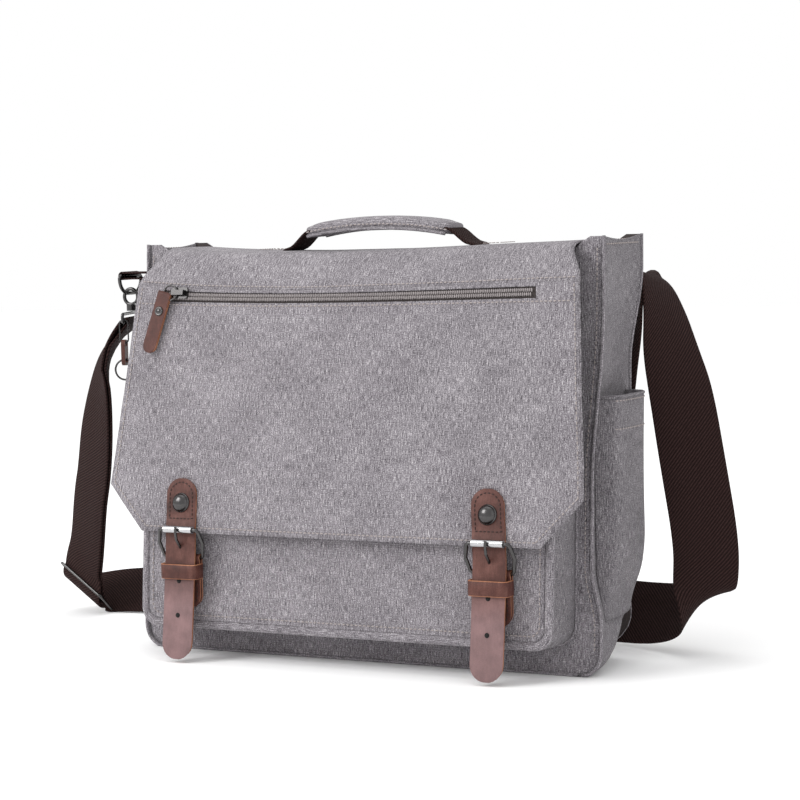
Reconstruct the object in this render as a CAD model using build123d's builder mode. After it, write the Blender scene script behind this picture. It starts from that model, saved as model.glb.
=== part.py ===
from build123d import *

import os
from math import cos, radians, sin

# Canvas messenger bag, millimetres, +Z up, +X to the wearer's right seen from the front, front towards -Y.
# The origin is on the floor under the middle of the bag's own bounding box, straps left out.
os.makedirs("parts", exist_ok=True)

# ---- driving dimensions -------------------------------------------------------------------
body_half = 200.0          # half width between the two side panels
body_top = 318.0           # rim of the front and back panels under the flap
ear_top = 324.0            # the panel corners that stand up beside the flap
ear_half = 183.0           # where the rim starts to rise to an ear
corner_r = 18.0            # rounded bottom corners of the body
canvas = 1.6               # outer canvas with its backing
lining_t = 0.8             # nylon lining
gap = 0.4                  # slack between canvas and lining
reach = 400.0              # longer than any piece is wide

front_top_y, front_foot_y = 4.0, -17.8      # outer face of the front panel, at the top and on the floor
back_top_y, back_foot_y = 75.4, 62.0        # outer face of the back panel

pocket_half, pocket_low, pocket_high = 172.0, 31.0, 165.0     # front pocket's face
pocket_top_y, pocket_foot_y = -43.5, -55.0
border_w = 7.0             # soft rolled edge round the pocket's face
border_t = 5.0
pocket_wall = 1.5

side_low, side_high = 40.0, 206.0           # side pockets

fold_y, flap_z = 1.0, 321.0                 # front fold of the flap and its top surface
yoke_y, yoke_z = -23.7, 292.7               # seam above the zip
hem_y, hem_z = -60.4, 100.5                 # bottom hem of the flap
flap_canvas = 1.2
flap_lining_t = 0.6
flap_half_fold, flap_half_yoke, flap_half_side = 179.0, 192.0, 205.0
flap_side_z, flap_half_hem = 135.8, 172.5   # where the corner cut starts and ends

zip_left, zip_right = -168.0, 158.0         # window for the zip
zip_z, zip_window = 285.7, 11.4
chain_w, chain_t = 5.0, 2.2

belt_x = 134.0             # the two closures stand at plus and minus this
belt_w, leather = 27.0, 2.2
belt_hinge_y, belt_hinge_z = -61.6, 105.5   # where each belt bends below its sewn tab
belt_tip_y, belt_tip_z = -74.2, 3.0
tab_top = 142.5
roller_z, heel_z, heel_y = 103.5, 81.0, -59.8
buckle_wire = 3.0
snap_z, snap_r = 55.0, 8.0

strap_w, strap_t = 50.0, 2.6                # shoulder strap webbing


# ---- shapes used again and again ------------------------------------------------------------
def save(builder, name):
    builder.part.label = name
    export_step(builder.part, f"parts/{name}.step")


def strip(a, b, inner, outer):
    """Side-view outline of a flat sheet that runs from a down to b, between two depths behind that line."""
    dy, dz = b[0] - a[0], b[1] - a[1]
    size = (dy * dy + dz * dz) ** 0.5
    ny, nz = -dz / size, dy / size
    return [
        (a[0] + ny * inner, a[1] + nz * inner),
        (b[0] + ny * inner, b[1] + nz * inner),
        (b[0] + ny * outer, b[1] + nz * outer),
        (a[0] + ny * outer, a[1] + nz * outer),
    ]


def side_face(points):
    """A closed outline in the side view, from (Y, Z) points."""
    with BuildSketch(Plane.YZ) as sketch:
        with BuildLine():
            Polyline(*points, close=True)
        make_face()
    return sketch.sketch


def front_face(points):
    """A closed outline in the front view, from (X, Z) points."""
    with BuildSketch(Plane.XZ) as sketch:
        with BuildLine():
            Polyline(*points, close=True)
        make_face()
    return sketch.sketch


def pan(half, low, high, radius):
    """Front-view outline with square top corners and rounded bottom corners."""
    with BuildSketch(Plane.XZ) as sketch:
        with Locations((0, (low + high) / 2)):
            Rectangle(2 * half, high - low)
        fillet(sketch.vertices().group_by(Axis.Y)[0], radius)
    return sketch.sketch


def trough(half, low, high, radius, wall):
    """Front-view U of a wall thickness: two sides and a bottom."""
    with BuildSketch(Plane.XZ) as sketch:
        add(pan(half, low, high, radius))
        add(pan(half - wall, low + wall, high + wall, radius - wall), mode=Mode.SUBTRACT)
    return sketch.sketch


def tongue(x, half, low, high, round_low=True):
    """Front-view strip with one round end."""
    end = low + half if round_low else high - half
    with BuildSketch(Plane.XZ) as sketch:
        with Locations((x, ((end + high) if round_low else (low + end)) / 2)):
            Rectangle(2 * half, (high - end) if round_low else (end - low))
        with Locations((x, end)):
            Circle(half)
    return sketch.sketch


def front_y(z):
    return front_foot_y + (front_top_y - front_foot_y) * z / body_top


def back_y(z):
    return back_foot_y + (back_top_y - back_foot_y) * z / ear_top


# how much longer a leaning panel's thickness is when it is measured level
front_sec = (1 + ((front_top_y - front_foot_y) / body_top) ** 2) ** 0.5
back_sec = (1 + ((back_top_y - back_foot_y) / ear_top) ** 2) ** 0.5


def flap_y(z):
    """Outer face of the hanging part of the flap."""
    return yoke_y + (hem_y - yoke_y) * (yoke_z - z) / (yoke_z - hem_z)


def belt_y(z):
    """Middle of a belt's thickness below its bend."""
    return belt_hinge_y + (belt_tip_y - belt_hinge_y) * (belt_hinge_z - z) / (belt_hinge_z - belt_tip_z)


def eared(points_low_half):
    """Front-view outline of a body panel, with the rim lower between the two ears."""
    rise = ear_half + 6
    with BuildSketch(Plane.XZ) as sketch:
        add(pan(points_low_half, 0, ear_top, corner_r))
        add(front_face([(-rise, ear_top), (-ear_half, body_top), (ear_half, body_top), (rise, ear_top),
                        (rise, ear_top + 9), (-rise, ear_top + 9)]), mode=Mode.SUBTRACT)
    return sketch.sketch


# ---- body: panels, side-and-bottom strip, lining, board, padded divider ----------------------
front_line = ((front_y(ear_top + 6), ear_top + 6), (front_y(-6), -6))
back_line = ((back_y(ear_top + 6), ear_top + 6), (back_y(-6), -6))

with BuildPart() as front_panel:
    extrude(side_face(strip(*front_line, 0, canvas)), amount=reach, both=True)
    extrude(eared(body_half), amount=reach, both=True, mode=Mode.INTERSECT)
save(front_panel, "front_panel")

with BuildPart() as back_panel:
    extrude(side_face(strip(*back_line, 0, -canvas)), amount=reach, both=True)
    extrude(eared(body_half), amount=reach, both=True, mode=Mode.INTERSECT)
save(back_panel, "back_panel")


def between(front_gap, back_gap, low, high):
    """Side-view space between the front and back panels' inner faces."""
    front = (canvas + front_gap) * front_sec
    back = (canvas + back_gap) * back_sec
    return side_face([
        (front_y(high) + front, high), (front_y(low) + front, low),
        (back_y(low) - back, low), (back_y(high) - back, high),
    ])


with BuildPart() as gusset:
    extrude(between(0, 0, 0, ear_top), amount=reach, both=True)
    extrude(trough(body_half, 0, ear_top, corner_r, canvas), amount=reach, both=True, mode=Mode.INTERSECT)
save(gusset, "gusset")

lining_top = body_top - 6
with BuildPart() as lining_hollow:
    extrude(between(gap + lining_t, gap + lining_t, 0, ear_top + 9), amount=reach, both=True)
    extrude(
        pan(body_half - canvas - gap - lining_t, canvas + gap + lining_t, ear_top + 9, corner_r - 3),
        amount=reach, both=True, mode=Mode.INTERSECT,
    )
with BuildPart() as lining:
    extrude(between(gap, gap, 0, lining_top), amount=reach, both=True)
    extrude(
        pan(body_half - canvas - gap, canvas + gap, lining_top, corner_r - 2),
        amount=reach, both=True, mode=Mode.INTERSECT,
    )
    add(lining_hollow.part, mode=Mode.SUBTRACT)
save(lining, "lining")

with BuildPart() as base_board:
    with Locations((0, 22, 4.8)):
        Box(364, 66, 2.5)
save(base_board, "base_board")

with BuildPart() as laptop_divider:
    extrude(side_face(strip((44, 268), (34, 7), 0, 6)), amount=182, both=True)
    fillet(laptop_divider.edges().filter_by(Axis.X), 2.4)
save(laptop_divider, "laptop_divider")

# ---- front pocket ---------------------------------------------------------------------------
pocket_slope = (pocket_top_y - pocket_foot_y) / (pocket_high - pocket_low)


def pocket_y(z):
    return pocket_foot_y + pocket_slope * (z - pocket_low)


pocket_long = ((pocket_y(pocket_high + 9), pocket_high + 9), (pocket_y(0), 0))

with BuildPart() as pocket_face:
    extrude(side_face(strip(*pocket_long, 0, canvas)), amount=reach, both=True)
    extrude(pan(pocket_half, pocket_low, pocket_high, 9), amount=reach, both=True, mode=Mode.INTERSECT)
save(pocket_face, "pocket_face")

with BuildPart() as pocket_border:
    extrude(side_face(strip(*pocket_long, 0, border_t)), amount=reach, both=True)
    extrude(
        trough(pocket_half + border_w, pocket_low - border_w, pocket_high - 12, 9 + border_w, border_w),
        amount=reach, both=True, mode=Mode.INTERSECT,
    )
save(pocket_border, "pocket_border")

wall_front = strip(*pocket_long, border_t, border_t + 1)
wall_back = [(front_y(0), 0), (front_y(pocket_high), pocket_high)]
with BuildPart() as pocket_gusset:
    extrude(side_face([wall_front[0], wall_front[1]] + wall_back), amount=reach, both=True)
    extrude(
        trough(pocket_half + border_w - 1.5, pocket_low - border_w + 1.5, pocket_high - 12, 14, pocket_wall),
        amount=reach, both=True, mode=Mode.INTERSECT,
    )
save(pocket_gusset, "pocket_gusset")

with BuildPart() as pocket_piping:
    extrude(side_face(strip(*front_line, -2.2, 0)), amount=reach, both=True)
    extrude(
        trough(pocket_half + border_w + 1, pocket_low - border_w - 1, pocket_high - 12, 16.5, 2.4),
        amount=reach, both=True, mode=Mode.INTERSECT,
    )
save(pocket_piping, "pocket_piping")

with BuildPart() as snap_sockets:
    with BuildSketch(Plane.XZ.offset(53.7)):
        with Locations((-belt_x, snap_z), (belt_x, snap_z)):
            Circle(snap_r)
    extrude(amount=1.8)
save(snap_sockets, "snap_sockets")

# ---- side pockets: bellows open at the top -----------------------------------------------------
side_plan = [(body_half, -3), (209, 2), (213.6, 16), (214.4, 34), (212, 50), (body_half, 59)]
side_hollow = [(body_half, 0.5), (208.2, 3.4), (212.2, 16.4), (213, 34), (210.8, 49), (body_half, 57)]
for side, sign in (("left", -1), ("right", 1)):
    with BuildPart() as side_pocket:
        with BuildSketch(Plane.XY.offset(side_low)):
            with BuildLine():
                Polyline(*[(sign * x, y) for x, y in side_plan], close=True)
            make_face()
        extrude(amount=side_high - side_low)
        with BuildSketch(Plane.XY.offset(side_low + 1.4)):
            with BuildLine():
                Polyline(*[(sign * x, y) for x, y in side_hollow], close=True)
            make_face()
        extrude(amount=side_high - side_low, mode=Mode.SUBTRACT)
    save(side_pocket, f"side_pocket_{side}")

# ---- flap: top, yoke, hanging front, linings -----------------------------------------------------
top_back_y = back_top_y - 0.6
with BuildPart() as flap_top:
    with Locations((0, (top_back_y + fold_y) / 2, flap_z - flap_canvas / 2)):
        Box(2 * flap_half_fold, top_back_y - fold_y, flap_canvas)
save(flap_top, "flap_top")

with BuildPart() as flap_top_lining:
    with Locations((0, (top_back_y + fold_y) / 2 + 1, flap_z - flap_canvas - flap_lining_t / 2)):
        Box(2 * flap_half_fold - 12, top_back_y - fold_y - 2, flap_lining_t)
save(flap_top_lining, "flap_top_lining")

# a leaf of the flap ends a little short of the fold line, so that it can turn about it
yoke_line = ((fold_y - 0.6, flap_z - 0.7), (yoke_y, yoke_z))
hang_line = ((yoke_y, yoke_z), (hem_y, hem_z))
with BuildPart() as flap_yoke:
    extrude(side_face(strip(*yoke_line, 0, flap_canvas)), amount=reach, both=True)
    extrude(
        front_face([(-flap_half_fold, flap_z), (-flap_half_yoke, yoke_z + 0.4),
                    (flap_half_yoke, yoke_z + 0.4), (flap_half_fold, flap_z)]),
        amount=reach, both=True, mode=Mode.INTERSECT,
    )
save(flap_yoke, "flap_yoke")

flap_outline = [(-flap_half_yoke, yoke_z - 0.2), (-flap_half_side, flap_side_z), (-flap_half_hem, hem_z),
                (flap_half_hem, hem_z), (flap_half_side, flap_side_z), (flap_half_yoke, yoke_z - 0.2)]
with BuildPart() as flap_front:
    extrude(side_face(strip(*hang_line, 0, flap_canvas)), amount=reach, both=True)
    extrude(front_face(flap_outline), amount=reach, both=True, mode=Mode.INTERSECT)
    with BuildSketch(Plane.XZ):
        with Locations(((zip_left + zip_right) / 2, zip_z)):
            Rectangle(zip_right - zip_left, zip_window)
    extrude(amount=reach, both=True, mode=Mode.SUBTRACT)
save(flap_front, "flap_front")

lining_outline = [(-flap_half_yoke + 8, yoke_z - 2), (-flap_half_side + 8, flap_side_z + 4),
                  (-flap_half_hem + 5, hem_z + 8), (flap_half_hem - 5, hem_z + 8),
                  (flap_half_side - 8, flap_side_z + 4), (flap_half_yoke - 8, yoke_z - 2)]
with BuildPart() as flap_lining:
    extrude(side_face(strip(*hang_line, flap_canvas + 0.8, flap_canvas + 0.8 + flap_lining_t)),
            amount=reach, both=True)
    extrude(front_face(lining_outline), amount=reach, both=True, mode=Mode.INTERSECT)
save(flap_lining, "flap_lining")

# ---- zip on the flap: tape, chain, slider, pull ----------------------------------------------------
hang_slope = (yoke_y - hem_y) / (yoke_z - hem_z)
zip_plane = Plane(
    origin=(0, flap_y(zip_z), zip_z), x_dir=(1, 0, 0), z_dir=(0, -1, hang_slope)
)      # local x along the zip, local y up the flap, local z out of the flap

with BuildPart() as zip_tape:
    with BuildSketch(zip_plane.offset(-flap_canvas - 0.7)):
        with Locations(((zip_left + zip_right) / 2, 0)):
            Rectangle(zip_right - zip_left + 8, zip_window + 1)
    extrude(amount=0.7)
save(zip_tape, "zip_tape")

with BuildPart() as zip_chain:
    with BuildSketch(zip_plane.offset(-flap_canvas)):
        with Locations(((zip_left + zip_right) / 2 + 6, 0)):
            Rectangle(zip_right - zip_left - 16, chain_w)
    extrude(amount=chain_t)
save(zip_chain, "zip_chain")

slider_x = -151.0
slider_face = chain_t - flap_canvas + 0.35
with BuildPart() as zip_slider:
    with BuildSketch(zip_plane.offset(slider_face)):
        with Locations((slider_x, 0)):
            RectangleRounded(15, 8.8, 2)
    extrude(amount=1.6)
    with BuildSketch(zip_plane.offset(slider_face)):
        with Locations((slider_x, 3.6), (slider_x, -3.6)):
            Rectangle(12, 1.4)
    extrude(amount=-1.4)
    with BuildSketch(zip_plane.offset(slider_face + 1.6)):
        with Locations((slider_x - 4.5, 0), (slider_x + 4.5, 0)):
            Rectangle(2, 4)
    extrude(amount=2.6)
    with BuildSketch(zip_plane.offset(slider_face + 4.2)):
        with Locations((slider_x, 0)):
            Rectangle(11, 4)
    extrude(amount=1.2)
save(zip_slider, "zip_slider")

# the pull's ring goes round the left pillar of the slider's bridge, and the leather leans to the left
pull_lean = 14.0
ring_r, ring_wire = 6.0, 0.7
ring_level = slider_face + 2.9
ring_at = zip_plane.from_local_coords(Vector(slider_x - 7.5, 0, ring_level))
ring_plane = Plane(origin=ring_at, x_dir=zip_plane.x_dir, z_dir=zip_plane.z_dir)
pull_w, pull_long, pull_t = 12.0, 50.0, 2.8
pull_top = (-4.6, 0.6)     # middle of the leather's top edge, from the ring's centre

with BuildPart() as zip_pull_ring:
    with Locations(ring_plane):
        Torus(ring_r, ring_wire)
save(zip_pull_ring, "zip_pull_ring")

with BuildPart() as zip_pull_leather:
    with BuildSketch(ring_plane.offset(-pull_t / 2 + 0.2)):
        with Locations(Location((*pull_top, 0), (0, 0, -pull_lean))):
            with Locations((0, -(pull_long - pull_w / 2) / 2)):
                Rectangle(pull_w, pull_long - pull_w / 2)
            with Locations((0, -pull_long + pull_w / 2)):
                Circle(pull_w / 2)
    extrude(amount=pull_t)
    with Locations(ring_plane):
        Torus(ring_r, ring_wire + 0.25, mode=Mode.SUBTRACT)
    with BuildSketch(ring_plane.offset(-pull_t)):
        with Locations(Location((*pull_top, 0), (0, 0, -pull_lean))):
            with Locations((0, -16)):
                Circle(1.6)
    extrude(amount=3 * pull_t, mode=Mode.SUBTRACT)
save(zip_pull_leather, "zip_pull_leather")

with BuildPart() as zip_pull_rivet:
    with BuildSketch(ring_plane.offset(-pull_t / 2 + 0.2)):
        with Locations(Location((*pull_top, 0), (0, 0, -pull_lean))):
            with Locations((0, -16)):
                Circle(1.6)
    extrude(amount=pull_t)
    with BuildSketch(ring_plane.offset(pull_t / 2 + 0.2)):
        with Locations(Location((*pull_top, 0), (0, 0, -pull_lean))):
            with Locations((0, -16)):
                Circle(3.6)
    extrude(amount=1.1)
save(zip_pull_rivet, "zip_pull_rivet")

# ---- closures: tab and stud on the flap, belt, buckle, prong, roller, anchor tab, keeper, snap ---------
tab_low = belt_hinge_z + 1.9
tab_line = ((flap_y(tab_top + 6), tab_top + 6), (flap_y(tab_low - 6), tab_low - 6))
stud_z = 123.6
stud_plane = Plane(origin=(0, flap_y(stud_z), stud_z), x_dir=(1, 0, 0), z_dir=(0, -1, hang_slope))

for side, x in (("left", -belt_x), ("right", belt_x)):
    with BuildPart() as belt_tab:
        extrude(side_face(strip(*tab_line, -leather, 0)), amount=reach, both=True)
        extrude(tongue(x, belt_w / 2, tab_low, tab_top, False), amount=reach, both=True, mode=Mode.INTERSECT)
    save(belt_tab, f"belt_tab_{side}")

    with BuildPart() as stud:
        with BuildSketch(stud_plane.offset(leather)):
            with Locations((x, 0)):
                Circle(7.6)
        extrude(amount=1)
        with BuildSketch(stud_plane.offset(leather + 1)):
            with Locations((x, 0)):
                Circle(7.2)
        extrude(amount=3.2, taper=35)
    save(stud, f"stud_{side}")

    belt_line = ((belt_y(belt_hinge_z), belt_hinge_z), (belt_y(-20), -20))
    with BuildPart() as belt:
        extrude(side_face(strip(*belt_line, -leather / 2, leather / 2)), amount=reach, both=True)
        extrude(tongue(x, belt_w / 2, belt_tip_z, belt_hinge_z + 20), amount=reach, both=True,
                mode=Mode.INTERSECT)
        with BuildSketch(Plane.YZ.offset(x)):
            with Locations((belt_hinge_y, belt_hinge_z)):
                Circle(leather / 2)
        extrude(amount=belt_w / 2, both=True)
        with BuildSketch(Plane.XZ):
            with Locations((x, 89.5)):
                SlotOverall(13, 4.2, rotation=90)
            with Locations((x, 63.5), (x, 37)):
                Circle(2)
        extrude(amount=reach, mode=Mode.SUBTRACT)
    save(belt, f"belt_{side}")

    # buckle: one loop of wire, its top bar in front of the belt and its heel bar behind it
    roller_y = belt_y(roller_z) - leather / 2 - 3.4
    lean = Vector(0, roller_y - heel_y, roller_z - heel_z)
    frame_mid = Vector(x, (roller_y + heel_y) / 2, (roller_z + heel_z) / 2)
    frame_plane = Plane(origin=frame_mid, x_dir=(1, 0, 0), z_dir=Vector(1, 0, 0).cross(lean.normalized()))
    tall, wide, bulge = lean.length / 2, 17.2, 20.0
    with BuildSketch(frame_plane) as frame_outline:
        with BuildLine():
            Polyline((-wide, tall), (wide, tall), (bulge, 0), (wide, -tall), (-wide, -tall), (-bulge, 0),
                     close=True)
        make_face()
        fillet(frame_outline.vertices(), 3.4)
    with BuildPart() as buckle_frame:
        with BuildSketch(Plane(origin=frame_mid + lean * 0.5, x_dir=(0, 0, 1), z_dir=(1, 0, 0))):
            Circle(buckle_wire / 2)
        sweep(path=frame_outline.sketch.faces()[0].outer_wire())
    save(buckle_frame, f"buckle_frame_{side}")

    with BuildPart() as roller:
        with BuildSketch(Plane.YZ.offset(x)):
            with Locations((roller_y, roller_z)):
                Circle(2.9)
                Circle(buckle_wire / 2 + 0.15, mode=Mode.SUBTRACT)
        extrude(amount=12.8, both=True)
    save(roller, f"roller_{side}")

    prong_r = 1.1
    with BuildPart() as prong:
        with BuildSketch(Plane.YZ.offset(x)):
            with Locations((heel_y, heel_z)):
                Circle(3.0)
                Circle(buckle_wire / 2 + 0.15, mode=Mode.SUBTRACT)
        extrude(amount=prong_r, both=True)
        with BuildLine(Plane.YZ.offset(x)):
            Polyline((heel_y - 1.4, heel_z + 2.6), (heel_y - 2.6, heel_z + 5.8),
                     (roller_y - 3.4, roller_z - 7.0), (roller_y - 4.4, roller_z - 1.5),
                     (roller_y - 4.2, roller_z + 2.6))
        with BuildSketch(Plane(origin=(x, heel_y - 1.4, heel_z + 2.6), x_dir=(1, 0, 0),
                               z_dir=(0, -1.2, 3.2))):
            Circle(prong_r)
        sweep(transition=Transition.RIGHT)
    save(prong, f"prong_{side}")

    # anchor tab: folded round the heel bar, two layers below it, slotted for the prong
    anchor_low, anchor_front, anchor_back = 42.0, -61.2, -58.0
    loop_r = buckle_wire / 2 + 0.3
    with BuildPart() as anchor_tab:
        with BuildSketch(Plane.YZ):
            with Locations((heel_y, heel_z)):
                Circle(loop_r + 1.5)
            with Locations(((anchor_front + anchor_back) / 2, (heel_z + anchor_low) / 2)):
                Rectangle(anchor_back - anchor_front, heel_z - anchor_low)
            with Locations((heel_y, heel_z)):
                Circle(loop_r, mode=Mode.SUBTRACT)
        extrude(amount=reach, both=True)
        extrude(tongue(x, belt_w / 2 + 0.4, anchor_low, heel_z + 9), amount=reach, both=True,
                mode=Mode.INTERSECT)
        with Locations((x, heel_y, heel_z + 1.2)):
            Box(3.4, 12, 9.6, mode=Mode.SUBTRACT)
    save(anchor_tab, f"anchor_tab_{side}")

    with BuildPart() as snap_stud:
        with BuildSketch(Plane.XZ.offset(-anchor_back)):
            with Locations((x, snap_z)):
                Circle(snap_r - 0.5)
        extrude(amount=-2.1)
    save(snap_stud, f"snap_stud_{side}")

    keeper_low, keeper_high = 65.0, 76.6
    with BuildPart() as keeper:
        with Locations((x, (-69.4 - 55.9) / 2, (keeper_low + keeper_high) / 2)):
            Box(belt_w + 5.0, 69.4 - 55.9, keeper_high - keeper_low)
            Box(belt_w + 1.8, 69.4 - 55.9 - 3.0, keeper_high, mode=Mode.SUBTRACT)
    save(keeper, f"keeper_{side}")

# ---- carry handle on the flap's top -----------------------------------------------------------------
handle_y, handle_w = 36.0, 30.0
grip_half, grip_end_z, grip_mid_z = 66.0, 328.4, 333.6
web_half = 1.2


def arch(thick):
    """Front-view band of half thickness thick along the handle's arch."""
    with BuildSketch(Plane.XZ) as sketch:
        with BuildLine():
            ThreePointArc((-grip_half, grip_end_z + thick), (0, grip_mid_z + thick), (grip_half, grip_end_z + thick))
            Line((grip_half, grip_end_z + thick), (grip_half, grip_end_z - thick))
            ThreePointArc((grip_half, grip_end_z - thick), (0, grip_mid_z - thick), (-grip_half, grip_end_z - thick))
            Line((-grip_half, grip_end_z - thick), (-grip_half, grip_end_z + thick))
        make_face()
    return sketch.sketch


with BuildPart() as handle_webbing:
    with BuildSketch(Plane.XZ.offset(-handle_y)):
        with BuildLine():
            Polyline((grip_half, grip_end_z + web_half), (88, flap_z + 2 * web_half),
                     (112, flap_z + 2 * web_half),
                     (112, flap_z), (87, flap_z), (grip_half, grip_end_z - web_half), close=True)
        make_face()
        mirror(about=Plane.YZ)
    extrude(amount=handle_w / 2, both=True)
    with BuildSketch(Plane.XZ.offset(-handle_y)):
        add(arch(web_half).moved(Location((0, handle_y, 0))))
    extrude(amount=handle_w / 2, both=True)
save(handle_webbing, "handle_webbing")

with BuildPart() as handle_grip:
    with BuildSketch(Plane.XZ.offset(-handle_y)):
        add(arch(5.2).moved(Location((0, handle_y, 0))))
    extrude(amount=handle_w / 2 + 2, both=True)
    add(handle_webbing.part, mode=Mode.SUBTRACT)
save(handle_grip, "handle_grip")

# ---- left side: webbing tab, D-ring, snap hook, key fob -------------------------------------------------
ring_x, ring_y, ring_z = -237.0, 30.0, 298.9
d_wire = 1.5
with BuildPart() as ring_tab:
    with BuildSketch(Plane.XZ.offset(-ring_y)):
        with Locations(((ring_x - body_half) / 2, ring_z)):
            Rectangle(-ring_x - body_half, 3.8)
        with Locations((ring_x, ring_z)):
            Circle(3.7)
            Circle(d_wire + 0.25, mode=Mode.SUBTRACT)
    extrude(amount=12.5, both=True)
save(ring_tab, "ring_tab")

d_half, d_low = 15.5, ring_z - 14.5
with BuildSketch(Plane.YZ.offset(ring_x)) as d_outline:
    with Locations((ring_y, (ring_z + d_low) / 2)):
        Rectangle(2 * d_half, ring_z - d_low)
    fillet(d_outline.vertices().group_by(Axis.Y)[0], 12)
    fillet(d_outline.vertices().group_by(Axis.Y)[-1], 2.4)
with BuildPart() as d_ring:
    with BuildSketch(Plane.XZ.offset(-ring_y)):
        with Locations((ring_x, ring_z)):
            Circle(d_wire)
    sweep(path=d_outline.sketch.faces()[0].outer_wire())
save(d_ring, "d_ring")

hook_r, hook_wire = 6.4, 1.5
hook_z = d_low + d_wire + 0.4 + hook_wire - hook_r
hook_plane = Plane(origin=(ring_x, ring_y, hook_z), x_dir=(1, 0, 0), z_dir=(0, -1, 0))
gate_from, gate_span = -52.0, 84.0
gate_x, gate_z = ring_x + hook_r * cos(radians(gate_from)), hook_z + hook_r * sin(radians(gate_from))
with BuildPart() as snap_hook:
    with BuildLine(hook_plane):
        CenterArc((0, 0), hook_r, gate_from + gate_span + 4, 360 - gate_span - 8)
    with BuildSketch(Plane(origin=hook_plane.from_local_coords(Vector(
            hook_r * cos(radians(gate_from + gate_span + 4)), hook_r * sin(radians(gate_from + gate_span + 4)), 0)),
            x_dir=(0, 1, 0), z_dir=(-sin(radians(gate_from + gate_span + 4)), 0,
                                    cos(radians(gate_from + gate_span + 4))))):
        Circle(hook_wire)
    sweep()
    with Locations((ring_x, ring_y, hook_z - hook_r - 2.6)):
        Cylinder(3.9, 5.2)
    # the gate turns in a round seat, and the nose is hollowed to the arc that the gate's tip sweeps
    with BuildSketch(Plane.XZ.offset(-ring_y)):
        with Locations((gate_x, gate_z)):
            Circle(1.45)
    extrude(amount=3, both=True, mode=Mode.SUBTRACT)
    with BuildSketch(Plane.XZ.offset(-ring_y)):
        with Locations((gate_x, gate_z)):
            Circle(9.2)
        with Locations((ring_x, hook_z - 9.5)):
            Rectangle(40, 20, mode=Mode.SUBTRACT)
    extrude(amount=3, both=True, mode=Mode.SUBTRACT)
save(snap_hook, "snap_hook")

with BuildPart() as snap_gate:
    with BuildLine(hook_plane):
        CenterArc((0, 0), hook_r, gate_from, gate_span + 10)
    with BuildSketch(Plane(origin=hook_plane.from_local_coords(Vector(
            hook_r * cos(radians(gate_from)), hook_r * sin(radians(gate_from)), 0)),
            x_dir=(0, 1, 0), z_dir=(-sin(radians(gate_from)), 0, cos(radians(gate_from))))):
        Circle(hook_wire * 0.8)
    sweep()
    with BuildSketch(Plane.XZ.offset(-ring_y)):
        with Locations((gate_x, gate_z)):
            Circle(8.9)
    extrude(amount=3, both=True, mode=Mode.INTERSECT)
save(snap_gate, "snap_gate")

# the eye is a flat wire loop as wide as the strap, under a short pin in the hook's barrel
eye_turn, eye_wire, eye_half, eye_tall = -70.0, 1.3, 30.0, 7.0
eye_top = hook_z - hook_r - 5.2 - 0.4 - eye_wire
eye_plane = Plane(origin=(ring_x, ring_y, eye_top - eye_tall / 2),
                  x_dir=(cos(radians(eye_turn)), sin(radians(eye_turn)), 0),
                  z_dir=(sin(radians(eye_turn)), -cos(radians(eye_turn)), 0))
with BuildSketch(eye_plane) as eye_outline:
    RectangleRounded(2 * eye_half, eye_tall, 2.2)
with BuildPart() as strap_eye:
    with BuildSketch(Plane(origin=eye_plane.from_local_coords(Vector(0, eye_tall / 2, 0)),
                           x_dir=(0, 0, 1), z_dir=eye_plane.x_dir)):
        Circle(eye_wire)
    sweep(path=eye_outline.sketch.faces()[0].outer_wire())
save(strap_eye, "strap_eye")

eye_low = eye_top - eye_tall
fob_at = eye_plane.from_local_coords(Vector(eye_half - 3.4, -eye_tall / 2, 0))
fob_plane = Plane(origin=fob_at, x_dir=-eye_plane.z_dir, z_dir=eye_plane.x_dir)      # local y is up
fob_wire, link_tall = 0.6, 19.0
link_top = eye_wire + 0.3 + fob_wire
with BuildSketch(fob_plane) as link_outline:
    with Locations((0, link_top - link_tall / 2)):
        RectangleRounded(7, link_tall, 3.4)
with BuildPart() as fob_link:
    with BuildSketch(Plane(origin=fob_plane.from_local_coords(Vector(0, link_top, 0)),
                           x_dir=(0, 0, 1), z_dir=fob_plane.x_dir)):
        Circle(fob_wire)
    sweep(path=link_outline.sketch.faces()[0].outer_wire())
save(fob_link, "fob_link")

# the tag hangs square to the link, and the split ring goes through its lower hole
tag_top = link_top - link_tall + fob_wire + 2.3
tag_plane = Plane(origin=fob_at, x_dir=fob_plane.z_dir, z_dir=-fob_plane.x_dir)
with BuildPart() as fob_tag:
    with BuildSketch(tag_plane.offset(-1.6)):
        with Locations((0, tag_top - 10.5)):
            RectangleRounded(11, 21, 4)
        with Locations((0, tag_top - 3.6), (0, tag_top - 17)):
            RectangleRounded(7, 3.4, 1, mode=Mode.SUBTRACT)
    extrude(amount=3.2)
save(fob_tag, "fob_tag")

split_r = 8.2
with BuildPart() as split_ring:
    with Locations(fob_plane * Location((0, tag_top - 17 - split_r + 0.6, 0))):
        Torus(split_r, 0.8)
save(split_ring, "split_ring")

# ---- shoulder strap -------------------------------------------------------------------------------------
# The adjuster is a wire frame with a middle bar. Its own plane: x along the bars, y along the webbing.
glide_at, glide_wide, glide_tall, glide_wire = (-346, 104, 23), 56.0, 28.0, 1.2
glide_plane = Plane(origin=glide_at, x_dir=(-0.86, 0.18, 0.48), z_dir=(0.493, 0.545, 0.679))


def by_glide(along_web, out):
    """A station by the adjuster: so far up the webbing, so far in front of the frame's plane."""
    spot = glide_plane.from_local_coords(Vector(0, along_web, -out))
    return (spot.X, spot.Y, spot.Z), (-0.86, 0.18, 0.48)


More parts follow.
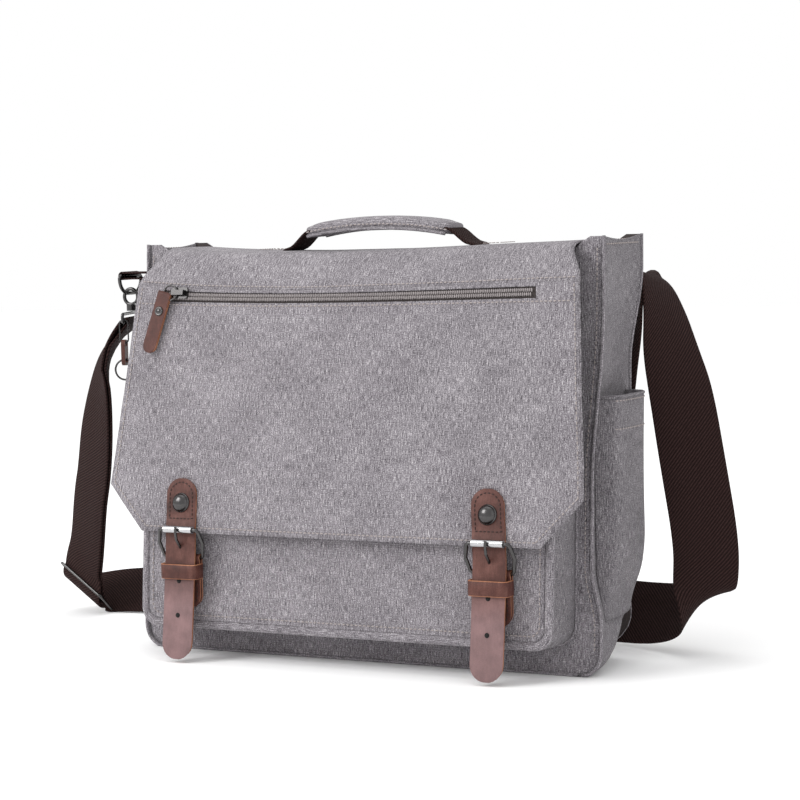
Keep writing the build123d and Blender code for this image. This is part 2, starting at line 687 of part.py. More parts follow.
# the webbing lies either side of the eye's lower bar and folds over it, climbing this way
eye_bar = Vector(ring_x, ring_y, eye_low)
eye_across = -eye_plane.x_dir
eye_climb = Vector(0.611, 0.222, 0.76)
eye_climb = (eye_climb - eye_across * eye_climb.dot(eye_across)).normalized()
eye_face = eye_climb.cross(eye_across).normalized()
bar_gap = eye_wire + 0.3 + strap_t / 2


def by_eye(turn, drop=0.0):
    """A station round the eye's lower bar, turned from its outer face over the top, or below it."""
    spot = eye_bar + (eye_face * cos(radians(turn)) + eye_climb * sin(radians(turn))) * bar_gap
    spot = spot - eye_climb * drop
    return (spot.X, spot.Y, spot.Z), (eye_across.X, eye_across.Y, eye_across.Z)


# Each station is the middle of the webbing and the direction of its width. The strap is sewn flat on the
# back panel, rises beside it, arches out and down, folds over itself at the floor, runs on edge behind
# the bag, turns up through the adjuster and climbs to the hook's eye.
strap_run = [
    ((165, 72.8, 186), (-1.00, 0.00, 0.00)),
    ((168, 74.2, 205), (-1.00, 0.00, 0.00)),
    ((173, 81, 228), (-0.95, 0.30, 0.00)),
    ((181, 92, 252), (-0.72, 0.70, 0.00)),
    ((188, 97, 274), (-0.50, 0.86, 0.00)),
    ((193, 100, 291), (-0.34, 0.94, 0.00)),
    ((202, 99, 283), (0.03, 1.00, 0.00)),
    ((209, 98, 262), (0.29, 0.96, 0.00)),
    ((214, 96, 234), (0.57, 0.82, 0.00)),
    ((224, 91, 202), (0.80, 0.60, 0.00)),
    ((233, 89, 150), (0.87, 0.48, 0.00)),
    ((244, 87, 88), (0.87, 0.48, 0.00)),
    ((243, 86, 56), (0.87, 0.47, 0.08)),
    ((239, 90, 43), (0.47, 0.85, 0.25)),
    ((228, 97, 34), (0.15, 0.68, 0.72)),
    ((195, 110, 27), (0.08, 0.45, 0.89)),
    ((150, 120, 26.2), (0.03, 0.30, 0.95)),
    ((60, 127, 26.5), (0.00, 0.15, 0.99)),
    ((-60, 131, 26.3), (0.00, 0.20, 0.98)),
    ((-170, 133, 25.2), (0.00, 0.35, 0.94)),
    ((-255, 132, 21.6), (-0.05, 0.60, 0.80)),
    ((-312, 130, 18), (-0.22, 0.75, 0.62)),
    ((-338, 127, 15.5), (-0.60, 0.55, 0.50)),
    by_glide(-glide_tall / 2, -2.9),
    by_glide(-glide_tall / 2 + 2.5, -2.5),
    by_glide(-5.5, 5.3),
    by_glide(0, 5.8),
    by_glide(5.5, 5.3),
    by_glide(glide_tall / 2 - 2.5, -2.5),
    by_glide(glide_tall / 2, -2.9),
]
strap_climb = [
    ((-341, 92, 43), (-0.87, 0.32, 0.36)),
    ((-333, 87, 60), (-0.88, 0.43, 0.20)),
    ((-316, 70, 105), (-0.88, 0.47, 0.03)),
    ((-305, 62, 130), (-0.88, 0.47, 0.00)),
    ((-292, 50, 165), (-0.87, 0.49, 0.00)),
    ((-284, 44, 190), (-0.82, 0.57, 0.00)),
    ((-272, 36, 225), (-0.67, 0.74, 0.00)),
    ((-258, 31, 242), (-0.50, 0.87, 0.00)),
]


def finer(stations, parts):
    """The same webbing with every span cut into shorter ones, so that it twists a little at a time."""
    close = []
    for (spot, width), (next_spot, next_width) in zip(stations, stations[1:]):
        for k in range(parts):
            here = Vector(spot) + (Vector(next_spot) - Vector(spot)) * (k / parts)
            turned = Vector(width) + (Vector(next_width) - Vector(width)) * (k / parts)
            close.append(((here.X, here.Y, here.Z), (turned.X, turned.Y, turned.Z)))
    return close + [stations[-1]]


strap_climb = finer([strap_run[-1]] + strap_climb + [by_eye(0, 9)], 5)[1:]
strap_route = strap_run + strap_climb + [by_eye(0, 0.6)]


def section(stations, here):
    """Middle, width direction and face direction of the webbing at one station."""
    middle, width = stations[here]
    before = Vector(stations[max(here - 1, 0)][0])
    after = Vector(stations[min(here + 1, len(stations) - 1)][0])
    across = Vector(width).normalized()
    ahead = (after - before).normalized()
    ahead = (ahead - across * ahead.dot(across)).normalized()
    return Vector(middle), across, ahead.cross(across)


def band(stations, thickness):
    """Webbing as a closed skin of flat triangles through the corners of its cross-sections."""
    corners = []
    for here in range(len(stations)):
        mid, across, face = section(stations, here)
        edge, face = across * (strap_w / 2), face * (thickness / 2)
        corners.append([mid - edge - face, mid + edge - face, mid + edge + face, mid - edge + face])
    first, last = corners[0], corners[-1]
    skin = [(first[0], first[1], first[2]), (first[0], first[2], first[3])]
    skin += [(last[0], last[1], last[2]), (last[0], last[2], last[3])]
    for near, far in zip(corners, corners[1:]):
        for k, n in ((0, 1), (3, 2), (1, 2), (0, 3)):
            skin.append((near[k], near[n], far[n]))
            skin.append((near[k], far[n], far[k]))
    return Solid(Shell([Face(Wire.make_polygon(points, close=True)) for points in skin]))


def run_length(stations):
    return sum((Vector(b[0]) - Vector(a[0])).length for a, b in zip(stations, stations[1:]))


with BuildPart() as shoulder_strap:
    add(band(strap_route, strap_t))
save(shoulder_strap, "shoulder_strap")
print("strap", round(run_length(strap_route)), "mm, volume over section times length",
      round(shoulder_strap.part.volume / (strap_w * strap_t * run_length(strap_route)), 3))

# the strap's end: over the eye's bar, back down behind the climbing strand, round the adjuster's middle bar
layer_gap = strap_t + 1.6
behind = []
for here in range(len(strap_run) - 1, len(strap_run) + len(strap_climb) - 5):
    mid, across, face = section(strap_route, here)
    spot = mid - face * layer_gap
    behind.append(((spot.X, spot.Y, spot.Z), strap_route[here][1]))
end_route = [by_eye(turn) for turn in (0, 45, 90, 135, 180)] + [by_eye(180, 5)]
end_route = end_route + behind[::-1]
end_route += [by_glide(8, -4.6), by_glide(3, -2.9), by_glide(0, -2.9), by_glide(-2.1, -2.1)]
end_route += [by_glide(-2.9, 0), by_glide(-2.1, 2.1), by_glide(0, 2.8), by_glide(2, 2.8)]
with BuildPart() as strap_end:
    add(band(end_route, strap_t))
save(strap_end, "strap_end")
print("strap end", round(run_length(end_route)), "mm")

with BuildSketch(glide_plane) as glide_outline:
    RectangleRounded(glide_wide, glide_tall, 3)
with BuildPart() as strap_adjuster:
    with BuildSketch(Plane(origin=glide_plane.from_local_coords(Vector(0, glide_tall / 2, 0)),
                           x_dir=glide_plane.z_dir, z_dir=glide_plane.x_dir)):
        Circle(glide_wire)
    sweep(path=glide_outline.sketch.faces()[0].outer_wire())
    with BuildSketch(Plane(origin=glide_at, x_dir=glide_plane.z_dir, z_dir=glide_plane.x_dir)):
        Circle(glide_wire - 0.15)
    extrude(amount=glide_wide / 2, both=True)
save(strap_adjuster, "strap_adjuster")
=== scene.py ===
from math import cos, hypot, pi, radians, sin, sqrt, tau

import bmesh
import bpy
from mathutils import Matrix, Vector, noise


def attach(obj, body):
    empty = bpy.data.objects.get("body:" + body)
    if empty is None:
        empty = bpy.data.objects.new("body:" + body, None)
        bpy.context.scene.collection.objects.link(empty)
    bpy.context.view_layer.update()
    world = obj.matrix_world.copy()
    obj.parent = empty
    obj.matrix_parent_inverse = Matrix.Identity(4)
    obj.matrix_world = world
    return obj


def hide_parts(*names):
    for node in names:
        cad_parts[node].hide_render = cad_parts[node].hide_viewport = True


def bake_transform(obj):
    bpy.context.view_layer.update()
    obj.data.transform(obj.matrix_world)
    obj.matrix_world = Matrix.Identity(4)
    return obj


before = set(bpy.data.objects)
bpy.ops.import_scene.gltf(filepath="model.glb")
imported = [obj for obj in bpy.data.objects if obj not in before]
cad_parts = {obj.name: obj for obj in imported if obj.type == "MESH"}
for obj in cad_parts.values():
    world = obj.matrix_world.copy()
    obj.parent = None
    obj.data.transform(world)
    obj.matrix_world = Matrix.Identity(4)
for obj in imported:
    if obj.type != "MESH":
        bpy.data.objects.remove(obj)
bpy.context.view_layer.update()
MM = 0.001


# ---- camera --------------------------------------------------------------------------------------
def look_from(turn, rise, roll, away, target, aim_x, aim_y, lens):
    """Camera on a sphere round target, turned so that the target stands off the middle of the picture."""
    back = Vector((sin(turn) * cos(rise), -cos(turn) * cos(rise), sin(rise)))
    right = Vector((cos(turn), sin(turn), 0))
    up = back.cross(right)
    side = right * cos(roll) + up * sin(roll)
    top = up * cos(roll) - right * sin(roll)
    ahead = (-back + side * aim_x - top * aim_y).normalized()
    side = (side - ahead * side.dot(ahead)).normalized()
    top = side.cross(ahead)
    data = bpy.data.cameras.new("camera")
    data.lens, data.sensor_width, data.clip_end = lens, 36, 30
    cam = bpy.data.objects.new("camera", data)
    place = Matrix.Translation(target + back * away)
    cam.matrix_world = place @ Matrix((side, top, -ahead)).transposed().to_4x4()
    bpy.context.scene.collection.objects.link(cam)
    bpy.context.scene.camera = cam


look_from(turn=radians(29.0), rise=radians(6.0), roll=radians(-1.6), away=1.878,
          target=Vector((0, 0.004, 0.150)), aim_x=0.01202, aim_y=-0.02696, lens=108.8)


# ---- materials -----------------------------------------------------------------------------------
class Nodes:
    """Shorthand for building one material's node tree."""

    def __init__(self, name, rough=0.8, metal=0.0, color=(0.5, 0.5, 0.5)):
        self.m = bpy.data.materials.new(name)
        self.m.use_nodes = True
        self.t = self.m.node_tree
        self.b = self.t.nodes["Principled BSDF"]
        self.b.inputs["Roughness"].default_value = rough
        self.b.inputs["Metallic"].default_value = metal
        self.b.inputs["Base Color"].default_value = (*color, 1)
        self.m.diffuse_color = (*color, 1)

    def new(self, kind, **values):
        n = self.t.nodes.new(kind)
        for k, v in values.items():
            setattr(n, k, v)
        return n

    def link(self, a, b):
        self.t.links.new(a, b)

    def coords(self, scale=(1, 1, 1), space="UV"):
        c = self.new("ShaderNodeTexCoord")
        m = self.new("ShaderNodeMapping")
        m.inputs["Scale"].default_value = scale
        self.link(c.outputs[space], m.inputs["Vector"])
        return m.outputs["Vector"]

    def noise(self, at, scale, detail=3.0, rough=0.55):
        n = self.new("ShaderNodeTexNoise")
        n.inputs["Scale"].default_value = scale
        n.inputs["Detail"].default_value = detail
        n.inputs["Roughness"].default_value = rough
        self.link(at, n.inputs["Vector"])
        return n.outputs["Fac"]

    def wave(self, at, scale, direction):
        n = self.new("ShaderNodeTexWave", bands_direction=direction)
        n.inputs["Scale"].default_value = scale
        self.link(at, n.inputs["Vector"])
        return n.outputs["Fac"]

    def math(self, op, a, b):
        n = self.new("ShaderNodeMath", operation=op)
        for k, v in enumerate((a, b)):
            if isinstance(v, (int, float)):
                n.inputs[k].default_value = v
            else:
                self.link(v, n.inputs[k])
        return n.outputs[0]

    def ramp(self, fac, stops):
        n = self.new("ShaderNodeValToRGB")
        e = n.color_ramp.elements
        while len(e) < len(stops):
            e.new(0.5)
        for k, (at, color) in enumerate(stops):
            e[k].position = at
            e[k].color = (*color, 1)
        self.link(fac, n.inputs["Fac"])
        return n.outputs["Color"]

    def paint(self, color):
        self.link(color, self.b.inputs["Base Color"])

    def bump(self, height, strength, distance):
        n = self.new("ShaderNodeBump")
        n.inputs["Strength"].default_value = strength
        n.inputs["Distance"].default_value = distance
        self.link(height, n.inputs["Height"])
        self.link(n.outputs["Normal"], self.b.inputs["Normal"])


def lin(r, g, b):
    """Linear colour from eight-bit display values."""
    return tuple((c / 255 / 12.92) if c <= 10 else ((c / 255 + 0.055) / 1.055) ** 2.4 for c in (r, g, b))


def canvas_material(name, shade):
    """Heathered canvas: upright slubs, a fine crossed weave and fading a hand wide. UVs are in metres."""
    k = Nodes(name, rough=0.93, color=lin(*(c * shade for c in (158, 152, 158))))
    slub = k.noise(k.coords((1500, 150, 1)), 1.0, 2.0, 0.6)
    fleck = k.noise(k.coords((1000, 1000, 1)), 1.0, 2.0, 0.7)
    fade = k.noise(k.coords((22, 22, 1)), 1.0, 3.0, 0.5)
    both = k.math("ADD", k.math("MULTIPLY", slub, 0.42), k.math("MULTIPLY", fleck, 0.48))
    both = k.math("ADD", both, k.math("MULTIPLY", fade, 0.10))
    stops = [(0.38, (74, 68, 74)), (0.46, (132, 126, 132)), (0.54, (172, 166, 172)), (0.62, (232, 226, 230))]
    k.paint(k.ramp(both, [(at, lin(*(c * shade for c in color))) for at, color in stops]))
    warp = k.wave(k.coords(), 190.0, "X")
    weft = k.wave(k.coords(), 190.0, "Y")
    k.bump(k.math("ADD", k.math("MULTIPLY", warp, weft), k.math("MULTIPLY", slub, 1.6)), 0.55, 0.0006)
    k.b.inputs["Sheen Weight"].default_value = 0.06
    k.b.inputs["Sheen Roughness"].default_value = 0.6
    return k.m


def leather_material(name, low, mid, high, rough=0.5, tail=None):
    """Waxed leather: fine grain, blotches of wear and lighter scuffs. A tail colour fades in along
    the length of a strap."""
    k = Nodes(name, rough=rough, color=lin(*mid))
    blotch = k.noise(k.coords(space="Object"), 55.0, 4.0, 0.6)
    grain = k.noise(k.coords(space="Object"), 1500.0, 3.0, 0.6)
    scuff = k.noise(k.coords((1, 1, 0.15), "Object"), 620.0, 3.0, 0.7)
    both = k.math("ADD", k.math("MULTIPLY", blotch, 0.6), k.math("MULTIPLY", grain, 0.2))
    both = k.math("ADD", both, k.math("MULTIPLY", scuff, 0.2))
    color = k.ramp(both, [(0.34, lin(*low)), (0.5, lin(*mid)), (0.68, lin(*high))])
    if tail:
        worn = k.ramp(both, [(0.34, lin(*(c * 0.86 for c in tail))), (0.68, lin(*(c * 1.16 for c in tail)))])
        along = k.new("ShaderNodeSeparateXYZ")
        k.link(k.coords((1, 8, 1)), along.inputs[0])
        share = k.ramp(along.outputs["Y"], [(0.52, (0, 0, 0)), (0.80, (1, 1, 1))])
        mix = k.new("ShaderNodeMix", data_type="RGBA")
        k.link(share, mix.inputs[0])
        k.link(color, mix.inputs[6])
        k.link(worn, mix.inputs[7])
        color = mix.outputs[2]
    k.paint(color)
    k.bump(k.math("ADD", grain, k.math("MULTIPLY", scuff, 0.5)), 0.35, 0.0006)
    k.b.inputs["Specular IOR Level"].default_value = 0.3
    return k.m


def webbing_material(name):
    """Dark webbing: twill ribs across a band whose UVs are in metres, u along its width."""
    k = Nodes(name, rough=0.85, color=lin(34, 26, 26))
    rib = k.wave(k.coords(), 210.0, "DIAGONAL")
    cross = k.wave(k.coords(), 330.0, "Y")
    fleck = k.noise(k.coords((700, 700, 1)), 1.0, 2.0, 0.6)
    both = k.math("ADD", k.math("MULTIPLY", rib, 0.45), k.math("MULTIPLY", fleck, 0.55))
    k.paint(k.ramp(both, [(0.25, lin(26, 15, 14)), (0.5, lin(39, 25, 24)), (0.8, lin(62, 44, 42))]))
    k.bump(k.math("ADD", rib, k.math("MULTIPLY", cross, 0.7)), 0.6, 0.0007)
    k.b.inputs["Specular IOR Level"].default_value = 0.1
    return k.m


def cloth_material(name, dark, light, rough=0.8, ribs=260.0):
    """Plain weave lining or tape."""
    k = Nodes(name, rough=rough, color=lin(*dark))
    a = k.wave(k.coords(space="Object"), ribs, "X")
    b = k.wave(k.coords(space="Object"), ribs, "Z")
    mix = k.math("MULTIPLY", a, b)
    k.paint(k.ramp(mix, [(0.1, lin(*dark)), (0.9, lin(*light))]))
    k.bump(mix, 0.35, 0.0004)
    return k.m


def metal_material(name, color, rough):
    """Plated metal with faint polishing marks."""
    k = Nodes(name, rough=rough, metal=1.0, color=color)
    mark = k.noise(k.coords(space="Object"), 380.0, 4.0, 0.6)
    k.link(k.ramp(mark, [(0.3, (rough * 0.8,) * 3), (0.7, (rough * 1.35,) * 3)]), k.b.inputs["Roughness"])
    k.paint(k.ramp(mark, [(0.2, tuple(c * 0.85 for c in color)), (0.8, color)]))
    k.bump(mark, 0.05, 0.0002)
    return k.m


def plain_material(name, color, rough, scale=900.0):
    """Moulded or spun stuff with a fine speckle."""
    k = Nodes(name, rough=rough, color=lin(*color))
    speck = k.noise(k.coords(space="Object"), scale, 2.0, 0.5)
    dark, light = (lin(*(min(255, c * share) for c in color)) for share in (0.85, 1.12))
    k.paint(k.ramp(speck, [(0.3, dark), (0.7, light)]))
    k.bump(speck, 0.2, 0.0003)
    return k.m


CANVAS = canvas_material("canvas", 0.81)
# a darker copy of the same canvas: painted shade for the gusset, the side pockets and the front pocket's
# sides, which face away from the key light
CANVAS_PAINTED_SHADE = canvas_material("canvas_painted_shade", 0.71)
LEATHER = leather_material("leather", (48, 24, 19), (78, 43, 36), (108, 70, 61), 0.5)
LEATHER_BELT = leather_material("leather_belt", (52, 28, 23), (82, 48, 41), (112, 74, 66), 0.5,
                                tail=(120, 94, 94))
LEATHER_EDGE = leather_material("leather_edge", (112, 66, 46), (156, 104, 76), (186, 136, 104), 0.7)
WEBBING = webbing_material("webbing")
LINING = cloth_material("lining", (44, 36, 36), (62, 54, 52))
TAPE = cloth_material("zip_tape", (58, 51, 50), (84, 76, 74), ribs=420.0)
COIL = plain_material("zip_coil", (150, 143, 143), 0.4)
METAL = metal_material("gunmetal", (0.085, 0.082, 0.082), 0.22)
BRIGHT = metal_material("bright_metal", (0.52, 0.52, 0.53), 0.2)
THREAD = plain_material("thread", (158, 149, 147), 0.85, 2500.0)
THREAD_DARK = plain_material("thread_dark", (52, 34, 30), 0.8, 2500.0)
BOARD = plain_material("board", (38, 38, 40), 0.7)


def smooth(t):
    """Ease from 0 to 1, flat at both ends."""
    t = min(max(t, 0.0), 1.0)
    return t * t * (3 - 2 * t)


def ramp(value, a, b):
    """Eased share of the way from a to b."""
    return smooth((value - a) / (b - a))


def rough_ground(x, y, z, wide, seed):
    """Seeded soft unevenness of a hand's size, about -1 to 1."""
    return noise.noise(Vector((x / wide + seed, y / wide - seed, z / wide + 2 * seed)))


def finish_mesh(name, bm, materials, body, nodes=()):
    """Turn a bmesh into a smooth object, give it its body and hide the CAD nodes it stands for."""
    mesh = bpy.data.meshes.new(name)
    bm.to_mesh(mesh)
    bm.free()
    for m in materials:
        mesh.materials.append(m)
    mesh.polygons.foreach_set("use_smooth", [True] * len(mesh.polygons))
    obj = bpy.data.objects.new(name, mesh)
    bpy.context.scene.collection.objects.link(obj)
    if body:
        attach(obj, body)
    if nodes:
        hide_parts(*nodes)
    return obj


def cloth(name, us, vs, fn, thick, materials, body, nodes=(), hole=None, flip=False, back=0, rim=0,
          weave=None):
    """A sheet of cloth over a grid, given thickness on its inner side. UVs are metres along the grid.
    weave names an axis, as 0 or 1, to take u from, so that threads stay upright where the grid fans out.
    back and rim are the material indices of the inner side and the cut edges."""
    bm = bmesh.new()
    uv = bm.loops.layers.uv.new("UVMap")
    grid = [[Vector(fn(u, v)) * MM for u in us] for v in vs]
    rows, cols = len(vs), len(us)
    mid_row, mid_col = rows // 2, cols // 2
    along_u, along_v = [0.0], [0.0]
    for c in range(1, cols):
        along_u.append(along_u[-1] + (grid[mid_row][c] - grid[mid_row][c - 1]).length)
    for r in range(1, rows):
        along_v.append(along_v[-1] + (grid[r][mid_col] - grid[r - 1][mid_col]).length)
    normals = []
    for r in range(rows):
        line = []
        for c in range(cols):
            du = grid[r][min(c + 1, cols - 1)] - grid[r][max(c - 1, 0)]
            dv = grid[min(r + 1, rows - 1)][c] - grid[max(r - 1, 0)][c]
            n = du.cross(dv)
            line.append((n.normalized() if n.length > 1e-12 else Vector((0, 0, 1))) * (-1 if flip else 1))
        normals.append(line)
    outer = [[bm.verts.new(grid[r][c]) for c in range(cols)] for r in range(rows)]
    inner = [[bm.verts.new(grid[r][c] - normals[r][c] * (thick * MM)) for c in range(cols)]
             for r in range(rows)]
    keep = {}
    for r in range(rows - 1):
        for c in range(cols - 1):
            keep[(r, c)] = not (hole and hole((us[c] + us[c + 1]) / 2, (vs[r] + vs[r + 1]) / 2))

    def face(corners, places, index=0):
        f = bm.faces.new(corners)
        f.material_index = index
        for loop, (r, c) in zip(f.loops, places):
            loop[uv].uv = (along_u[c] if weave is None else grid[r][c][weave], along_v[r])

    for (r, c), there in keep.items():
        if not there:
            continue
        ring = [(r, c), (r, c + 1), (r + 1, c + 1), (r + 1, c)]
        turn = ring[::-1] if flip else ring
        face([outer[a][b] for a, b in turn], turn)
        other_way = turn[::-1]
        face([inner[a][b] for a, b in other_way], other_way, back)
        for (a, b), other in zip(zip(ring, ring[1:] + ring[:1]), ((-1, 0), (0, 1), (1, 0), (0, -1))):
            if not keep.get((r + other[0], c + other[1]), False):
                first, second = (a, b) if not flip else (b, a)
                edge = [sheet[r][c] for sheet, (r, c) in ((outer, second), (outer, first),
                                                          (inner, first), (inner, second))]
                face(edge, [second, first, first, second], rim)
    bmesh.ops.delete(bm, geom=[v for v in bm.verts if not v.link_faces], context="VERTS")
    return finish_mesh(name, bm, materials, body, nodes)


def spread(a, b, count):
    """Even steps from a to b, ends included."""
    return [a + (b - a) * k / count for k in range(count + 1)]


def sweep(name, path, profile, materials, body, nodes=(), ups=None, closed=False,
          profile_at=None, edge_faces=()):
    """A profile carried along a path. ups gives the profile's second axis, for the whole path or for
    each point; its first axis is across path and up."""
    bm = bmesh.new()
    uv = bm.loops.layers.uv.new("UVMap")
    pts = [Vector(p) * MM for p in path]
    count = len(pts)
    rings, run = [], [0.0]
    for k in range(count):
        before = pts[(k - 1) % count] if (closed or k) else pts[0]
        after = pts[(k + 1) % count] if (closed or k < count - 1) else pts[-1]
        ahead = (after - before).normalized()
        up = Vector(ups[k] if ups and isinstance(ups[0], (tuple, list, Vector)) else (ups or (0, 0, 1)))
        up = (up - ahead * up.dot(ahead)).normalized()
        across = ahead.cross(up)
        shape = profile_at(k) if profile_at else profile
        rings.append([bm.verts.new(pts[k] + (across * a + up * b) * MM) for a, b in shape])
        if k:
            run.append(run[-1] + (pts[k] - pts[k - 1]).length)
    size = len(rings[0])
    base = profile_at(0) if profile_at else profile
    girth = [0.0]
    for k in range(size):
        a, b = base[k], base[(k + 1) % size]
        girth.append(girth[-1] + hypot(a[0] - b[0], a[1] - b[1]) * MM)
    spans = count if closed else count - 1
    for k in range(spans):
        near, far = rings[k], rings[(k + 1) % count]
        far_run = run[k + 1] if k + 1 < count else run[k] + (pts[0] - pts[k]).length
        for j in range(size):
            n = (j + 1) % size
            f = bm.faces.new([near[j], near[n], far[n], far[j]])
            f.material_index = 1 if j in edge_faces else 0
            for loop, spot in zip(f.loops, ((girth[j], run[k]), (girth[j + 1], run[k]),
                                            (girth[j + 1], far_run), (girth[j], far_run))):
                loop[uv].uv = spot
    if not closed:
        bm.faces.new(rings[0][::-1])
        bm.faces.new(rings[-1])
    bmesh.ops.recalc_face_normals(bm, faces=bm.faces)
    return finish_mesh(name, bm, materials, body, nodes)


def circle(r, count=12):
    return [(r * cos(tau * k / count), r * sin(tau * k / count)) for k in range(count)]


def rolled_edge(name, path, radius, ups, nodes=(), body="bag", tint=None):
    """A cord of canvas along a seam or hem."""
    return sweep(name, path, circle(radius, 8), [tint or CANVAS], body, nodes, ups=ups)


def walk(points, pitch, start=0.0):
    """Points and directions every pitch millimetres along a polyline."""
    out, want, gone = [], start, 0.0
    for a, b in zip(points, points[1:]):
        a, b = Vector(a), Vector(b)
        long = (b - a).length
        while want <= gone + long and long > 0:
            out.append((a + (b - a) * ((want - gone) / long), (b - a).normalized()))
            want += pitch
        gone += long
    return out


def stitches(name, lines, body, out=(0, -1, 0), pitch=3.6, long=2.5, wide=0.55, proud=0.12, thread=None,
             slot="canvas", blend=None):
    """Rows of stitches: each is a low spindle of thread lying on the cloth."""
    bm = bmesh.new()
    for line in lines:
        points, normal = line if isinstance(line, tuple) else (line, out)
        normal = Vector(normal).normalized()
        for spot, ahead in walk(points, pitch, pitch / 2):
            across = ahead.cross(normal).normalized()
            up = across.cross(ahead)
            rows = []
            for t, grow in ((-0.5, 0.35), (-0.3, 0.9), (0, 1.0), (0.3, 0.9), (0.5, 0.35)):
                middle = spot + ahead * (t * long) + normal * proud * (1 if abs(t) < 0.4 else -0.6)
                ring = [(across * cos(a) * wide + up * sin(a) * wide * 0.7) * grow
                        for a in (0, tau / 6, tau / 3, pi, 4 * pi / 3, 5 * pi / 3)]
                rows.append([bm.verts.new((middle + offset) * MM) for offset in ring])
            for near, far in zip(rows, rows[1:]):
                for j in range(6):
                    bm.faces.new([near[j], near[(j + 1) % 6], far[(j + 1) % 6], far[j]])
            bm.faces.new(rows[0][::-1])
            bm.faces.new(rows[-1])
    bmesh.ops.recalc_face_normals(bm, faces=bm.faces)
    obj = finish_mesh(name, bm, [thread or THREAD], None if blend else body, ())
    if blend:
        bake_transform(obj)
    return obj


def lathe(name, centre, axis, outline, materials, body, nodes=(), count=32):
    """A turned piece: outline is (radius, height along axis) pairs from foot to top."""
    bm = bmesh.new()
    axis = Vector(axis).normalized()
    side = axis.orthogonal().normalized()
    other = axis.cross(side)
    rings = []
    for r, h in outline:
        middle = Vector(centre) + axis * h
        if r < 1e-6:
            rings.append([bm.verts.new(middle * MM)])
        else:
            turns = [tau * k / count for k in range(count)]
            rings.append([bm.verts.new((middle + (side * cos(t) + other * sin(t)) * r) * MM) for t in turns])
    for near, far in zip(rings, rings[1:]):
        for k in range(count):
            n = (k + 1) % count
            if len(near) == 1:
                bm.faces.new([near[0], far[n], far[k]])
            elif len(far) == 1:
                bm.faces.new([near[k], near[n], far[0]])
            else:
                bm.faces.new([near[k], near[n], far[n], far[k]])
    if len(rings[0]) > 1:
        bm.faces.new(rings[0][::-1])
    if len(rings[-1]) > 1:
        bm.faces.new(rings[-1])
    bmesh.ops.recalc_face_normals(bm, faces=bm.faces)
    return finish_mesh(name, bm, materials, body, nodes)


# ---- shoulder strap, its hardware and its doubled end --------------------------------------------
STRAP_W, STRAP_T = 50.0, 2.2
STRAP_GAP = 3.4  # between the middles of the strap's two layers
# the eye's lower bar: its middle, its direction, and the strap's climb and face where it meets the bar
EYE = Vector((-237, 30, 261.1))
EYE_ACROSS = Vector((-cos(radians(-70)), -sin(radians(-70)), 0))
EYE_CLIMB = Vector((0.611, 0.222, 0.76))
EYE_CLIMB = (EYE_CLIMB - EYE_ACROSS * EYE_CLIMB.dot(EYE_ACROSS)).normalized()
EYE_FACE = EYE_CLIMB.cross(EYE_ACROSS).normalized()
# the adjuster: along its bars, out of its plane and up the webbing
GLIDE = Vector((-346, 104, 23))
GLIDE_X = Vector((-0.86, 0.18, 0.48)).normalized()
GLIDE_Z = Vector((0.493, 0.545, 0.679))
GLIDE_Z = (GLIDE_Z - GLIDE_X * GLIDE_Z.dot(GLIDE_X)).normalized()
GLIDE_Y = GLIDE_Z.cross(GLIDE_X)


def by_glide(along_web, out):
    """A point of the strap's route beside the adjuster's middle bar, and its width direction."""
    spot = GLIDE + GLIDE_Y * along_web - GLIDE_Z * out
    return tuple(spot), tuple(GLIDE_X)


def by_eye(turn, drop=0.0):
    """A point of the strap's route round the eye's bar, and its width direction."""
    spot = EYE + (EYE_FACE * cos(radians(turn)) + EYE_CLIMB * sin(radians(turn))) * 2.9 - EYE_CLIMB * drop
    return tuple(spot), tuple(EYE_ACROSS)


# the strap from the right seam, over its fold, down to the floor, behind the bag, through the adjuster
# and up to the eye: each stop is a middle and a width direction
strap_route = [
    ((165, 72.8, 186), (-1, 0, 0)),
    ((168, 74.2, 205), (-1, 0, 0)),
    ((173, 81, 228), (-0.95, 0.3, 0)),
    ((181, 92, 252), (-0.72, 0.7, 0)),
    ((187, 97, 276), (-0.5, 0.86, 0)),
    ((193, 100, 296), (-0.34, 0.94, 0)),
    ((202, 99, 286), (0.03, 1, 0)),
    ((209, 98, 262), (0.29, 0.96, 0)),
    ((214, 96, 234), (0.57, 0.82, 0)),
    ((224, 91, 202), (0.8, 0.6, 0)),
    ((233, 89, 150), (0.87, 0.48, 0)),
    ((244, 87, 88), (0.87, 0.48, 0)),
    ((243, 86, 56), (0.87, 0.47, 0.08)),
    ((239, 90, 43), (0.47, 0.85, 0.25)),
    ((228, 97, 34), (0.15, 0.68, 0.72)),
    ((195, 110, 27), (0.08, 0.45, 0.89)),
    ((150, 120, 26.2), (0.03, 0.3, 0.95)),
    ((60, 127, 26.5), (0, 0.15, 0.99)),
    ((-60, 131, 26.3), (0, 0.2, 0.98)),
    ((-170, 133, 25.2), (0, 0.35, 0.94)),
    ((-255, 132, 21.6), (-0.05, 0.6, 0.8)),
    ((-312, 130, 18), (-0.22, 0.75, 0.62)),
    ((-338, 127, 15.5), (-0.6, 0.55, 0.5)),
    by_glide(-14, -2.9),
    by_glide(-5.5, 5.3),
    by_glide(5.5, 5.3),
    by_glide(14, -2.9),
    ((-341, 92, 43), (-0.87, 0.32, 0.36)),
    ((-333, 87, 60), (-0.88, 0.43, 0.2)),
    ((-316, 70, 105), (-0.88, 0.47, 0.03)),
    ((-305, 62, 130), (-0.88, 0.47, 0)),
    ((-292, 50, 165), (-0.87, 0.49, 0)),
    ((-284, 44, 190), (-0.82, 0.57, 0)),
    ((-272, 36, 225), (-0.67, 0.74, 0)),
    ((-258, 31, 242), (-0.5, 0.87, 0)),
    by_eye(0, 9),
    by_eye(0, 0.6),
]


